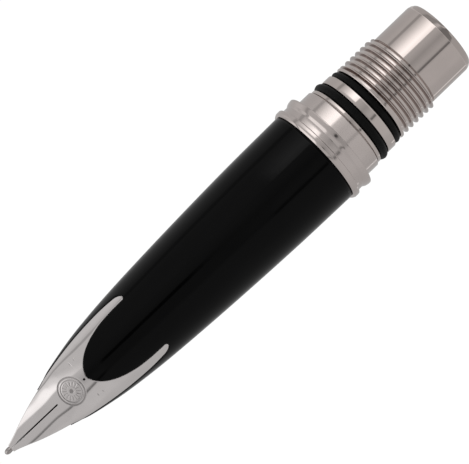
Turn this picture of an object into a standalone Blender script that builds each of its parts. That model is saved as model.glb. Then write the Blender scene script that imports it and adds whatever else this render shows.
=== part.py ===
"""Front section of a fountain pen: the grip with its inlaid nib, the ink feed
inside it, and the metal connector that screws into the pen's barrel.

The world's +X runs along the pen's axis towards the barrel, and +Z is the side
that the nib's upper face looks to. The origin is on the axis, in the plane of
the collar's rear stop face, which the barrel's mouth closes against.

Every length and position in this script is in millimetres. MM turns it into
metres where a mesh is made.
"""
import math

import bmesh
import bpy
from mathutils import Vector

MM = 0.001

# Clearances
FIT = 0.03  # between fixed pieces that touch
THREAD_PLAY = 0.06  # between mating thread flanks, along the radius

# Connector: the barrel's thread, the seal grooves and the grip's thread
BARREL_THREAD_PITCH = 0.75
BARREL_THREAD_CREST_R = 5.0
BARREL_THREAD_ROOT_R = 4.6
BARREL_THREAD_FRONT_X = 6.1
BARREL_THREAD_REAR_X = 10.88
BARREL_THREAD_PHASE = 0.43
GRIP_THREAD_PITCH = 0.75
GRIP_THREAD_CREST_R = 4.5
GRIP_THREAD_ROOT_R = 4.08
GRIP_THREAD_FRONT_X = -8.6
GRIP_THREAD_REAR_X = -3.6
BORE_R = 3.85  # the cartridge's way in
NECK_BORE_R = 3.0  # around the cartridge's neck
NECK_STEP_X = -4.0
NECK_CONE = 0.5  # length of the cone between the two bores
CONNECTOR_FRONT_X = -9.6
CONNECTOR_NOSE_R = 3.95
CONNECTOR_CHAMFER = 0.15  # at both ends
SHOULDER_CHAMFER = 0.06
RUNOUT_DEPTH = 0.02  # of the neck behind the grip's thread, under its root
SPIGOT_R = 4.5
SPIGOT_FRONT_X = -2.85
SHOULDER_X = 1.96
SHOULDER_R = 5.15
MIDDLE_BAND_R = 5.105
FRONT_GROOVE_X = (2.45, 3.65)
FRONT_GROOVE_R = 4.25
REAR_GROOVE_X = (4.74, 5.8)
REAR_GROOVE_R = 4.1
THREAD_RIM_CHAMFER = 0.14  # on the full rim before the barrel's thread
REAR_SPIGOT_R = 4.2
REAR_SPIGOT_X = 13.5

# Seals: centre along the axis, ring radius and section radius
FRONT_O_RING = (3.05, 4.82, 0.545)
REAR_O_RING = (5.26, 4.60, 0.45)

# Sleeve round the cartridge
SLEEVE_R = 4.57
SLEEVE_BORE_R = 3.95
SLEEVE_FRONT_X = 10.98
SLEEVE_REAR_X = 16.77
SLEEVE_END_R = 4.26
SLEEVE_SHOULDER = (16.48, 4.45)  # where the end's shoulder turns in
SLEEVE_CHAMFER_X = 16.06
SLEEVE_FRONT_CHAMFER = 0.05
SLEEVE_MOUTH_CHAMFER = 0.08

# Collar clamped between the grip and the connector
COLLAR_FRONT_X = -2.5
COLLAR_REAR_X = 1.93
COLLAR_FRONT_R = 5.74
BEAD_RISE = ((0.08, 5.99), (0.26, 6.13))  # behind the collar's front, and radius
BEAD_R = 6.13
BEAD_REAR_X = -1.7
BEAD_REAR_ROUND = (0.16, 0.12)
COLLAR_WAIST_R = 5.82
RIDGE_FRONT_X = -0.87
RIDGE_FLAT_X = -0.32
RIDGE_R = 6.11
REAR_BAND_R = 5.316
COLLAR_EDGE = 0.05

# Grip: rows of x, half-width, top height, widest level and bottom height
GRIP_REAR_X = -2.54
GRIP_ROWS = (
    (-2.5, 5.78, 5.78, 0.0, -5.78),
    (-10.5, 5.65, 5.65, 0.0, -5.65),
    (-19.1, 5.33, 5.33, 0.0, -5.33),
    (-26.0, 4.97, 4.97, 0.0, -4.97),
    (-30.0, 4.68, 4.66, 0.0, -4.68),
    (-33.0, 4.37, 4.24, 0.0, -4.42),
    (-35.0, 4.10, 3.84, 0.08, -4.19),
    (-37.0, 3.74, 3.28, 0.50, -3.89),
    (-39.0, 3.31, 2.62, 0.77, -3.53),
    (-40.5, 2.90, 2.06, 0.66, -3.20),
    (-42.0, 2.76, 1.46, 0.01, -2.82),
    (-45.0, 2.40, 0.16, -0.83, -2.50),
    (-48.5, 2.00, -1.46, -2.22, -2.60),
)
GRIP_SPANS = ((GRIP_REAR_X, -26.0, 7), (-26.0, -33.0, 4), (-33.0, -39.6, 8))
CHIN_START_X = -39.6
CHIN_STATIONS = (-40.3, -40.8, -41.1, -41.28)
CHIN_FRONT_X = -41.35
CHIN_SHRINK = 0.32  # how much smaller the grip's front face is than its row

# Grip's inside, from the rear
BUSH_SEAT_R = 5.0
BUSH_SEAT_X = -9.0
CARRIER_SEAT_R = 4.2
CARRIER_SEAT_X = -11.92
FEED_BORE_R = 3.55
FEED_BORE_FRONT_X = -34.3
FEED_BORE_CONE = (0.5, 0.3)  # length and depth of its front cone
FEED_CHANNEL_SPAN = (-34.4, -44.0)
FEED_CHANNEL_REAR_X = -33.6

# Nib: sheet, slit and outline
NIB_THICKNESS = 0.35
NIB_FRONT_X = -47.5
NIB_REAR_X = -28.3
SLIT_WIDTH = 0.1
SLIT_END_X = -41.0
NIB_OUTER_ROWS = (
    (-48.5, 0.22),
    (-47.3, 0.46),
    (-46.4, 0.79),
    (-44.75, 1.48),
    (-43.0, 2.09),
    (-41.3, 2.59),
    (-40.0, 3.00),
    (-38.6, 3.31),
    (-36.5, 3.66),
    (-34.4, 3.91),
    (-32.3, 4.06),
    (-30.8, 4.10),
    (-29.4, 4.05),
    (-28.0, 3.92),
)
WING_OUTER_ROUND_X = -29.4
WING_INNER_ROUND_X = -28.65
WING_END_Y = 3.55
TONGUE_APEX_X = -36.9
TONGUE_HALF_WIDTH = 3.29
TONGUE_POWERS = (2.8, 1.7)
APEX_STEPS = (0.06, 0.22, 0.5, 0.9, 1.5, 2.4, 3.6)  # stations behind the apex
WING_STEPS = (0.75, 0.4, 0.2, 0.07, 0.0)  # stations before the wing's end
RECESS_RISE = 0.6  # how far the nib's cutter stands over the grip
TIP_CENTRE_X = -47.93
TIP_SIZE = (0.52, 0.34, 0.33)  # half-sizes of the writing point

# Feed: rows of x, half-width, top height, widest level and bottom height
FEED_NOSE_ROWS = (
    (-34.0, 3.00, 3.00, 0.0, -3.00),
    (-36.0, 2.72, 2.75, -0.15, -2.86),
    (-38.0, 2.34, 2.15, -0.30, -2.60),
    (-40.0, 1.88, 1.45, -0.45, -2.20),
    (-42.0, 1.34, 0.78, -0.55, -1.72),
    (-44.0, 0.74, 0.10, -0.58, -1.16),
    (-45.3, 0.28, -0.50, -0.66, -0.86),
)
FEED_CLEARANCE = 0.06
FIN_COUNT = 10
FIN_R = 3.45
FIN_CORE_R = 2.2
FIN_THICKNESS = 0.55
FIN_FRONT_X = -33.0
FIN_REAR_X = -18.2
FEED_REAR_X = -16.1
FEED_NECK_X = -33.6
FEED_FLANGE_X = -17.6
FEED_SLOT_HALF_WIDTH = 0.36
FEED_SLOT_FLOOR_Z = -0.42
FEED_SLOT_OUTLINE = (  # x and z, from its open front round its open top
    (-46.0, -0.56),
    (-46.0, 4.0),
    (-15.1, 4.0),
    (-15.1, FEED_SLOT_FLOOR_Z),
    (-42.0, FEED_SLOT_FLOOR_Z),
    (-44.0, -0.56),
)
FEED_BAR_HALF_WIDTH = 0.32
FEED_BAR_OUTLINE = (  # x and z, along its floor to the tail and back over its top
    (-43.9, -0.50),
    (-42.0, FEED_SLOT_FLOOR_Z + FIT),
    (-6.6, FEED_SLOT_FLOOR_Z + FIT),
    (-6.6, 0.38),
    (-16.4, 0.38),
    (-16.4, 2.0),
    (-33.2, 2.0),
    (-36.0, 2.4),
    (-38.0, 1.85),
    (-40.0, 1.18),
    (-42.0, 0.55),
    (-43.8, -0.06),
)

# Ink carrier, piercing tube and seal
CARRIER_FRONT_X = -15.9
CARRIER_FLANGE_X = (-11.89, -10.25)
CARRIER_FLANGE_R = 4.15
CARRIER_PILOT_R = 3.5
CARRIER_PILOT_CHAMFER = 0.15
CARRIER_COLLAR = (0.9, 2.2, 1.9)  # length, front radius and rear radius
NIPPLE_R = 1.2
NIPPLE_BORE_R = 0.72
NIPPLE_FLANGE_R = 1.9
NIPPLE_FLANGE_LENGTH = 0.58
NIPPLE_SEAT_LENGTH = 0.62
NIPPLE_SLANT = (0.75, (0.87, 0, 0.5))  # before its rear end, and direction
NIPPLE_FRONT_X = -15.3
NIPPLE_REAR_X = -5.4
SEAL_X = (-10.22, -9.63)
SEAL_R = (2.9, 4.1)
SEAL_EDGE = 0.1

ROUND_COLUMNS = 28
GRIP_COLUMNS = 36
SMALL_COLUMNS = 16


# ---------------------------------------------------------------- curves


def smooth_row(rows, x):
    """The row at x, on a smooth curve through rows sorted along x."""
    rows = sorted(rows)
    last = len(rows) - 2
    n = min(max(sum(row[0] <= x for row in rows) - 1, 0), last)
    before, low = rows[max(n - 1, 0)], rows[n]
    high, after = rows[n + 1], rows[min(n + 2, last + 1)]
    span = high[0] - low[0]
    t = (x - low[0]) / span
    values = []
    for k in range(1, len(low)):
        start = (high[k] - before[k]) / (high[0] - before[0]) * span
        end = (after[k] - low[k]) / (after[0] - low[0]) * span
        values.append(
            low[k] * (1 + 2 * t) * (1 - t) ** 2
            + start * t * (1 - t) ** 2
            + high[k] * t**2 * (3 - 2 * t)
            + end * t**2 * (t - 1)
        )
    return values


def half_ellipses(row, columns, grow=0.0):
    """A closed outline of two half-ellipses that share their widest level."""
    width, top, middle, bottom = row
    points = []
    for n in range(columns):
        angle = math.tau * n / columns
        height = top - middle if math.sin(angle) > 0 else middle - bottom
        y = (width + grow) * math.cos(angle)
        points.append((y, middle + (height + grow) * math.sin(angle)))
    return points


def spaced(start, end, count):
    return [start + (end - start) * n / count for n in range(count + 1)]


def surface_place(x, angle):
    """A place on the grip's upper surface, at an angle either side of its top."""
    width, top, middle, _ = smooth_row(GRIP_ROWS, x)
    return Vector((x, width * math.sin(angle), middle + (top - middle) * math.cos(angle)))


def under_surface(x, angle, depth):
    """The place depth under the grip's upper surface, along its normal."""
    step = 0.001
    along = surface_place(x + step, angle) - surface_place(x - step, angle)
    across = surface_place(x, angle + step) - surface_place(x, angle - step)
    inward = across.cross(along).normalized()
    return surface_place(x, angle) + depth * inward


def surface_angle(x, y):
    """The angle at which the upper surface is y away from the middle plane."""
    width = smooth_row(GRIP_ROWS, x)[0]
    return math.asin(min(y / width, 1.0))


def surface_share(x, angle, distance):
    """The angle that spans a distance across the upper surface."""
    width, top, middle, _ = smooth_row(GRIP_ROWS, x)
    stretch = (width * math.cos(angle), (top - middle) * math.sin(angle))
    return distance / math.hypot(*stretch)


def nib_outer(x):
    """Half-width of the nib's outer edge, with the wing's end rounded."""
    if x < WING_OUTER_ROUND_X:
        return smooth_row(NIB_OUTER_ROWS, x)[0]
    share = (x - WING_OUTER_ROUND_X) / (NIB_REAR_X - WING_OUTER_ROUND_X)
    start = smooth_row(NIB_OUTER_ROWS, WING_OUTER_ROUND_X)[0]
    rise = math.sqrt(max(1 - share**2, 0.0))
    return WING_END_Y + (start - WING_END_Y) * rise


def tongue_edge(x):
    """Half-width of the grip's tongue between the wings."""
    share = min(max((NIB_REAR_X - x) / (NIB_REAR_X - TONGUE_APEX_X), 0.0), 1.0)
    long_power, wide_power = TONGUE_POWERS
    return TONGUE_HALF_WIDTH * (1 - share**long_power) ** (1 / wide_power)


def nib_inner(x):
    """Half-width where the nib begins: the slit's wall or the tongue's edge."""
    if x < SLIT_END_X:
        return SLIT_WIDTH / 2
    if x < WING_INNER_ROUND_X:
        return tongue_edge(x)
    share = (x - WING_INNER_ROUND_X) / (NIB_REAR_X - WING_INNER_ROUND_X)
    start = tongue_edge(WING_INNER_ROUND_X)
    rise = math.sqrt(max(1 - share**2, 0.0))
    return WING_END_Y - (WING_END_Y - start) * rise


# ---------------------------------------------------------------- meshes


class Thread:
    """A right-hand thread between two places on a turned profile."""

    def __init__(self, start_x, end_x, low_r, high_r, pitch, phase, shape):
        self.ends = (start_x, end_x)
        self.radii = (low_r, high_r)
        self.pitch = pitch
        self.phase = phase
        self.shape = shape  # (share of the pitch, share of the height)

    def rows(self, turn):
        """Every row of the thread at this share of a turn, as (x, r)."""
        low_x, high_x = min(self.ends), max(self.ends)
        first = math.floor((low_x - self.phase) / self.pitch) - 2
        last = math.ceil((high_x - self.phase) / self.pitch) + 1
        marks = []
        for lap in range(first, last + 1):
            for share, height in self.shape:
                x = self.phase + self.pitch * (lap + share + turn)
                for end in (low_x, high_x):
                    if abs(x - end) < 0.03 * self.pitch:
                        x = end
                marks.append((x, height))
        rows = []
        low_r, high_r = self.radii
        for x, height in marks:
            if not low_x <= x <= high_x:
                x = low_x if x < low_x else high_x
                height = height_at(marks, x)
            rows.append((x, low_r + (high_r - low_r) * height))
        return rows if self.ends[0] < self.ends[1] else rows[::-1]


def height_at(marks, x):
    """The thread's height at x, on straight lines between its marks."""
    for (x0, h0), (x1, h1) in zip(marks, marks[1:]):
        if x0 <= x <= x1:
            return h0 + (h1 - h0) * (x - x0) / (x1 - x0)
    return marks[0][1]


# A sharp thread, and one with a flat crest and a wider flat root
SHARP_THREAD = ((0.0, 0.0), (0.5, 1.0))
FLAT_THREAD = ((-0.05, 1.0), (0.05, 1.0), (0.31, 0.0), (0.69, 0.0))


def add_face(mesh, vertices):
    """A face from the vertices that differ, if at least three do."""
    unique = []
    for vertex in vertices:
        if vertex not in unique:
            unique.append(vertex)
    if len(unique) > 2:
        mesh.faces.new(unique)


def turned(profile, columns):
    """A body turned round the X axis from a closed profile.

    The profile lists its outer side from front to rear and then its bore from
    rear to front, as (x, r) places and Thread stretches.
    """
    mesh = bmesh.new()
    strips = []
    for column in range(columns):
        turn = column / columns
        strip = []
        for item in profile:
            rows = item.rows(turn) if isinstance(item, Thread) else [item]
            previous = None
            for x, r in rows:
                if previous is None or (x, r) != previous[0]:
                    angle = math.tau * turn
                    place = (x, r * math.cos(angle), r * math.sin(angle))
                    vertex = mesh.verts.new([MM * value for value in place])
                    previous = ((x, r), vertex)
                strip.append(previous[1])
        strips.append(strip)
    strips.append(shifted(profile, strips[0]))
    for near, far in zip(strips, strips[1:]):
        for n in range(len(near)):
            following = (n + 1) % len(near)
            corners = (near[n], far[n], far[following], near[following])
            add_face(mesh, corners)
    return finished(mesh)


def shifted(profile, strip):
    """The first strip after one whole turn, which moves each thread a lap."""
    result, start = [], 0
    for item in profile:
        count = len(item.rows(0.0)) if isinstance(item, Thread) else 1
        part = strip[start : start + count]
        if isinstance(item, Thread):
            lap = len(item.shape)
            rising = item.ends[0] < item.ends[1]
            part = part[lap:] + part[-1:] * lap if rising else part[:1] * lap + part[:-lap]
        result += part
        start += count
    return result


def lofted(sections):
    """A closed body through sections of equally many (x, y, z) points."""
    mesh = bmesh.new()
    loops = []
    for section in sections:
        loops.append([mesh.verts.new([MM * v for v in point]) for point in section])
    for near, far in zip(loops, loops[1:]):
        for n in range(len(near)):
            following = (n + 1) % len(near)
            mesh.faces.new((near[n], near[following], far[following], far[n]))
    mesh.faces.new(loops[0])
    mesh.faces.new(loops[-1])
    return finished(mesh)


def extruded(outline, half_width):
    """A flat piece with an outline of (x, z) points, centred on y = 0."""
    mesh = bmesh.new()
    face = mesh.faces.new(
        [mesh.verts.new((MM * x, -MM * half_width, MM * z)) for x, z in outline]
    )
    result = bmesh.ops.extrude_face_region(mesh, geom=[face])
    moved = [v for v in result["geom"] if isinstance(v, bmesh.types.BMVert)]
    bmesh.ops.translate(mesh, verts=moved, vec=(0, 2 * MM * half_width, 0))
    return finished(mesh)


def finished(mesh):
    bmesh.ops.recalc_face_normals(mesh, faces=mesh.faces)
    return mesh


def material(name, color, metallic, roughness):
    made = bpy.data.materials.new(name)
    made.use_nodes = True
    shader = made.node_tree.nodes["Principled BSDF"]
    shader.inputs["Base Color"].default_value = (*color, 1.0)
    shader.inputs["Metallic"].default_value = metallic
    shader.inputs["Roughness"].default_value = roughness
    made.diffuse_color = (*color, 1.0)
    return made


def frame(name):
    """An empty on the pen's axis that one moving group hangs from."""
    empty = bpy.data.objects.new(name, None)
    empty.empty_display_size = 4 * MM
    bpy.context.collection.objects.link(empty)
    return empty


def piece(name, mesh, look, parent=None, datum_x=0.0):
    """An object from a mesh, with its origin on the axis at datum_x."""
    bmesh.ops.translate(mesh, verts=mesh.verts, vec=(-MM * datum_x, 0, 0))
    data = bpy.data.meshes.new(name)
    mesh.to_mesh(data)
    mesh.free()
    data.shade_smooth()
    data.set_sharp_from_angle(angle=math.radians(32))
    made = bpy.data.objects.new(name, data)
    made.location = (MM * datum_x, 0, 0)
    made.parent = parent
    if look:
        data.materials.append(look)
    bpy.context.collection.objects.link(made)
    return made


def cut(target, name, mesh):
    """Take a hidden cutter's shape away from a piece."""
    cutter = piece(name, mesh, None, target.parent)
    cutter.hide_render = True
    cutter.display_type = "WIRE"
    modifier = target.modifiers.new(name, "BOOLEAN")
    modifier.operation = "DIFFERENCE"
    modifier.solver = "EXACT"
    modifier.object = cutter


# ---------------------------------------------------------------- connector


def grip_thread(start_x, end_x, play):
    """The sharp thread that joins grip and connector, larger by play."""
    return Thread(
        start_x,
        end_x,
        GRIP_THREAD_ROOT_R + play,
        GRIP_THREAD_CREST_R + play,
        GRIP_THREAD_PITCH,
        0.0,
        SHARP_THREAD,
    )


def threaded_connector():
    front_near, front_far = FRONT_GROOVE_X
    rear_near, rear_far = REAR_GROOVE_X
    edge, chamfer = SHOULDER_CHAMFER, CONNECTOR_CHAMFER
    neck_r = GRIP_THREAD_ROOT_R - RUNOUT_DEPTH
    profile = [
        (CONNECTOR_FRONT_X, CONNECTOR_NOSE_R - chamfer),
        (CONNECTOR_FRONT_X + chamfer, CONNECTOR_NOSE_R),
        (GRIP_THREAD_FRONT_X, CONNECTOR_NOSE_R),
        grip_thread(GRIP_THREAD_FRONT_X, GRIP_THREAD_REAR_X, 0.0),
        (GRIP_THREAD_REAR_X, neck_r),
        (SPIGOT_FRONT_X, neck_r),
        (SPIGOT_FRONT_X, SPIGOT_R),
        (SHOULDER_X, SPIGOT_R),
        (SHOULDER_X, SHOULDER_R - edge),
        (SHOULDER_X + edge, SHOULDER_R),
        (front_near - edge, SHOULDER_R),
        (front_near, SHOULDER_R - edge),
        (front_near, FRONT_GROOVE_R),
        (front_far, FRONT_GROOVE_R),
        (front_far, MIDDLE_BAND_R - edge),
        (front_far + edge, MIDDLE_BAND_R),
        (rear_near - edge, MIDDLE_BAND_R),
        (rear_near, MIDDLE_BAND_R - edge),
        (rear_near, REAR_GROOVE_R),
        (rear_far, REAR_GROOVE_R),
        (rear_far, BARREL_THREAD_CREST_R - THREAD_RIM_CHAMFER),
        (rear_far + THREAD_RIM_CHAMFER, BARREL_THREAD_CREST_R),
        (BARREL_THREAD_FRONT_X, BARREL_THREAD_CREST_R),
        Thread(
            BARREL_THREAD_FRONT_X,
            BARREL_THREAD_REAR_X,
            BARREL_THREAD_ROOT_R,
            BARREL_THREAD_CREST_R,
            BARREL_THREAD_PITCH,
            BARREL_THREAD_PHASE,
            FLAT_THREAD,
        ),
        (BARREL_THREAD_REAR_X, REAR_SPIGOT_R),
        (REAR_SPIGOT_X - chamfer, REAR_SPIGOT_R),
        (REAR_SPIGOT_X, REAR_SPIGOT_R - chamfer),
        (REAR_SPIGOT_X, BORE_R),
        (NECK_STEP_X, BORE_R),
        (NECK_STEP_X - NECK_CONE, NECK_BORE_R),
        (CONNECTOR_FRONT_X, NECK_BORE_R),
    ]
    return turned(profile, ROUND_COLUMNS)


def o_ring(centre_x, ring_r, section_r):
    """A rubber ring of round section, listed from its front over its top."""
    points = 10
    profile = []
    for n in range(points):
        angle = math.tau * n / points
        x = centre_x - section_r * math.cos(angle)
        profile.append((x, ring_r + section_r * math.sin(angle)))
    return turned(profile, ROUND_COLUMNS)


def cartridge_sleeve():
    socket_end = REAR_SPIGOT_X + FIT
    profile = [
        (SLEEVE_FRONT_X, SLEEVE_R - SLEEVE_FRONT_CHAMFER),
        (SLEEVE_FRONT_X + SLEEVE_FRONT_CHAMFER, SLEEVE_R),
        (SLEEVE_CHAMFER_X, SLEEVE_R),
        SLEEVE_SHOULDER,
        (SLEEVE_REAR_X, SLEEVE_END_R),
        (SLEEVE_REAR_X, SLEEVE_BORE_R + SLEEVE_MOUTH_CHAMFER),
        (SLEEVE_REAR_X - SLEEVE_MOUTH_CHAMFER, SLEEVE_BORE_R),
        (socket_end, SLEEVE_BORE_R),
        (socket_end, REAR_SPIGOT_R + FIT),
        (SLEEVE_FRONT_X, REAR_SPIGOT_R + FIT),
    ]
    return turned(profile, ROUND_COLUMNS)


# ---------------------------------------------------------------- collar


def clutch_collar():
    bore, edge = SPIGOT_R + FIT, COLLAR_EDGE
    round_length, round_depth = BEAD_REAR_ROUND
    profile = [
        (COLLAR_FRONT_X, COLLAR_FRONT_R),
        *((COLLAR_FRONT_X + step, r) for step, r in BEAD_RISE),
        (BEAD_REAR_X - round_length, BEAD_R),
        (BEAD_REAR_X, BEAD_R - round_depth),
        (BEAD_REAR_X, COLLAR_WAIST_R),
        (RIDGE_FRONT_X, COLLAR_WAIST_R),
        (RIDGE_FLAT_X, RIDGE_R),
        (-edge, RIDGE_R),
        (0.0, RIDGE_R - edge),
        (0.0, REAR_BAND_R),
        (COLLAR_REAR_X - edge, REAR_BAND_R),
        (COLLAR_REAR_X, REAR_BAND_R - edge),
        (COLLAR_REAR_X, bore),
        (COLLAR_FRONT_X, bore),
    ]
    return turned(profile, ROUND_COLUMNS)


# ---------------------------------------------------------------- grip


def grip_section(x):
    """The grip's outline at x, drawn in towards its front face."""
    row = smooth_row(GRIP_ROWS, x)
    share = max((CHIN_START_X - x) / (CHIN_START_X - CHIN_FRONT_X), 0.0)
    size = 1 - CHIN_SHRINK * (1 - math.sqrt(max(1 - share**2, 0.0)))
    middle = row[2]
    outline = half_ellipses(row, GRIP_COLUMNS)
    return [(x, y * size, middle + (z - middle) * size) for y, z in outline]


def grip_shell():
    stations = [GRIP_REAR_X]
    for start, end, count in GRIP_SPANS:
        stations += spaced(start, end, count)[1:]
    stations += [*CHIN_STATIONS, CHIN_FRONT_X]
    return lofted([grip_section(x) for x in stations])


def grip_bore():
    """The stepped bore, with a closed front end inside the feed's channel."""
    cone_length, cone_depth = FEED_BORE_CONE
    profile = [
        (FEED_BORE_FRONT_X, FEED_BORE_R - cone_depth),
        (FEED_BORE_FRONT_X + cone_length, FEED_BORE_R),
        (CARRIER_SEAT_X, FEED_BORE_R),
        (CARRIER_SEAT_X, CARRIER_SEAT_R),
        (BUSH_SEAT_X, CARRIER_SEAT_R),
        (BUSH_SEAT_X, BUSH_SEAT_R),
        (GRIP_REAR_X + 1.0, BUSH_SEAT_R),
    ]
    return solid_turned(profile, ROUND_COLUMNS)


def solid_turned(profile, columns):
    """A solid body of revolution through (x, r) places."""
    sections = []
    for x, r in profile:
        angles = [math.tau * n / columns for n in range(columns)]
        sections.append([(x, r * math.cos(a), r * math.sin(a)) for a in angles])
    return lofted(sections)


def feed_channel():
    """The way through the grip's nose for the front of the feed."""
    sections = []
    for x in [FEED_CHANNEL_REAR_X, *spaced(*FEED_CHANNEL_SPAN, 6)]:
        row = smooth_row(FEED_NOSE_ROWS, x)
        outline = half_ellipses(row, SMALL_COLUMNS, FEED_CLEARANCE)
        sections.append([(x, y, z) for y, z in outline])
    return lofted(sections)


def thread_bush():
    front = BUSH_SEAT_X + FIT
    rear = SPIGOT_FRONT_X - 0.1
    profile = [
        (front, BUSH_SEAT_R - FIT),
        (rear, BUSH_SEAT_R - FIT),
        (rear, GRIP_THREAD_CREST_R + THREAD_PLAY + 0.05),
        grip_thread(rear - 0.1, front + 0.1, THREAD_PLAY),
        (front, GRIP_THREAD_CREST_R + THREAD_PLAY + 0.05),
    ]
    return turned(profile, ROUND_COLUMNS)


# ---------------------------------------------------------------- nib


def nib_stations():
    """Places along the nib, closer together where its outline turns."""
    stations = spaced(NIB_FRONT_X, SLIT_END_X, 7)
    stations += spaced(SLIT_END_X, TONGUE_APEX_X, 5)[1:]
    stations += [TONGUE_APEX_X + step for step in APEX_STEPS]
    stations += spaced(stations[-1], WING_OUTER_ROUND_X, 4)[1:]
    stations += [NIB_REAR_X - step for step in WING_STEPS]
    return stations


def nib_span(x, grow, slit):
    """The nib's inner and outer edge at x, as angles on the upper surface."""
    inner = surface_angle(x, nib_inner(x))
    outer = surface_angle(x, nib_outer(x))
    if outer - inner < 0.01:
        inner, outer = inner - 0.005, outer + 0.005
    outer += surface_share(x, outer, grow)
    if x < SLIT_END_X and slit:
        return inner, outer
    if x <= TONGUE_APEX_X + 0.001:
        return 0.0, outer
    return max(inner - surface_share(x, inner, grow), 0.0), outer


def nib_sheet(depth, rise, grow, slit):
    """The nib's outline as a curved plate that follows the grip's surface.

    It reaches from depth under that surface to rise over it, and its outline
    is larger by grow. With slit it has the slit between its tines.
    """
    across = 4
    mesh = bmesh.new()
    middle_pairs = {}
    for side in (1, -1):
        grid = []
        for x in nib_stations():
            inner, outer = nib_span(x, grow, slit)
            column = []
            for angle in spaced(inner, outer, across):
                pair = middle_pairs.get(x) if angle == 0.0 else None
                if pair is None:
                    levels = [under_surface(x, side * angle, d) for d in (-rise, depth)]
                    pair = [mesh.verts.new(MM * place) for place in levels]
                if angle == 0.0:
                    middle_pairs[x] = pair
                column.append(pair)
            grid.append(column)
        close_grid(mesh, grid, middle_pairs.values())
    return finished(mesh)


def close_grid(mesh, grid, middle_pairs):
    """Faces over and under a grid of vertex pairs, and along its free edges."""
    rows, across = len(grid), len(grid[0])
    for n in range(rows - 1):
        for m in range(across - 1):
            square = [grid[n][m], grid[n + 1][m], grid[n + 1][m + 1], grid[n][m + 1]]
            add_face(mesh, [pair[0] for pair in square])
            add_face(mesh, [pair[1] for pair in square])
        for m in (0, across - 1):
            near, far = grid[n][m], grid[n + 1][m]
            if near not in middle_pairs or far not in middle_pairs:
                add_face(mesh, (near[0], far[0], far[1], near[1]))
    for n in (0, rows - 1):
        for m in range(across - 1):
            near, far = grid[n][m], grid[n][m + 1]
            add_face(mesh, (near[0], far[0], far[1], near[1]))


def nib_tip(side):
    """Half of the hard writing point, on one tine's end."""
    centre_z = surface_place(TIP_CENTRE_X, 0.0).z - NIB_THICKNESS / 2
    mesh = bmesh.new()
    bmesh.ops.create_uvsphere(mesh, u_segments=16, v_segments=10, radius=1.0)
    bmesh.ops.scale(mesh, verts=mesh.verts, vec=[MM * half for half in TIP_SIZE])
    centre = [MM * TIP_CENTRE_X, 0, MM * centre_z]
    bmesh.ops.translate(mesh, verts=mesh.verts, vec=centre)
    planes = (
        ((0, side * MM * SLIT_WIDTH / 2, 0), (0, side, 0)),
        ((MM * (NIB_FRONT_X - FIT), 0, 0), (-1, 0, 0)),
    )
    for place, normal in planes:
        result = bmesh.ops.bisect_plane(
            mesh,
            geom=[*mesh.verts, *mesh.edges, *mesh.faces],
            plane_co=place,
            plane_no=normal,
            clear_inner=True,
        )
        rim = [e for e in result["geom_cut"] if isinstance(e, bmesh.types.BMEdge)]
        bmesh.ops.holes_fill(mesh, edges=rim, sides=0)
    return finished(mesh)


# ---------------------------------------------------------------- feed


def collector():
    """The finned feed: a neck under the nib, then thin fins on a core."""
    sections = []
    for x in spaced(FEED_NOSE_ROWS[-1][0], FEED_NOSE_ROWS[0][0], 11):
        outline = half_ellipses(smooth_row(FEED_NOSE_ROWS, x), SMALL_COLUMNS)
        sections.append([(x, y, z) for y, z in outline])
    rings = [(FEED_NECK_X, FIN_CORE_R)]
    pitch = (FIN_REAR_X - FIN_FRONT_X) / FIN_COUNT
    for n in range(FIN_COUNT):
        front = FIN_FRONT_X + n * pitch
        rings += [(front, FIN_CORE_R), (front, FIN_R)]
        rings += [(front + FIN_THICKNESS, FIN_R), (front + FIN_THICKNESS, FIN_CORE_R)]
    rings += [(FEED_FLANGE_X, FIN_CORE_R), (FEED_FLANGE_X, FIN_R), (FEED_REAR_X, FIN_R)]
    for x, r in rings:
        outline = half_ellipses((r, r, 0.0, -r), SMALL_COLUMNS)
        sections.append([(x, y, z) for y, z in outline])
    return lofted(sections)


def feed_slot():
    """The slot from the feed's top down past the axis, for the ink bar."""
    return extruded(FEED_SLOT_OUTLINE, FEED_SLOT_HALF_WIDTH)


def feed_bar():
    """The ink bar: a blade in the feed's slot, with a tail into the tube."""
    return extruded(FEED_BAR_OUTLINE, FEED_BAR_HALF_WIDTH)


def nipple_carrier():
    flange_front, flange_rear = CARRIER_FLANGE_X
    chamfer = CARRIER_PILOT_CHAMFER
    collar_length, collar_front_r, collar_rear_r = CARRIER_COLLAR
    bore = NIPPLE_R + FIT
    seat = NIPPLE_FRONT_X + NIPPLE_SEAT_LENGTH
    profile = [
        (CARRIER_FRONT_X, CARRIER_PILOT_R - chamfer),
        (CARRIER_FRONT_X + chamfer, CARRIER_PILOT_R),
        (flange_front, CARRIER_PILOT_R),
        (flange_front, CARRIER_FLANGE_R),
        (flange_rear, CARRIER_FLANGE_R),
        (flange_rear, collar_front_r),
        (flange_rear + collar_length, collar_rear_r),
        (flange_rear + collar_length, bore),
        (seat, bore),
        (seat, NIPPLE_FLANGE_R + FIT),
        (CARRIER_FRONT_X, NIPPLE_FLANGE_R + FIT),
    ]
    return turned(profile, SMALL_COLUMNS + 8)


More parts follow.
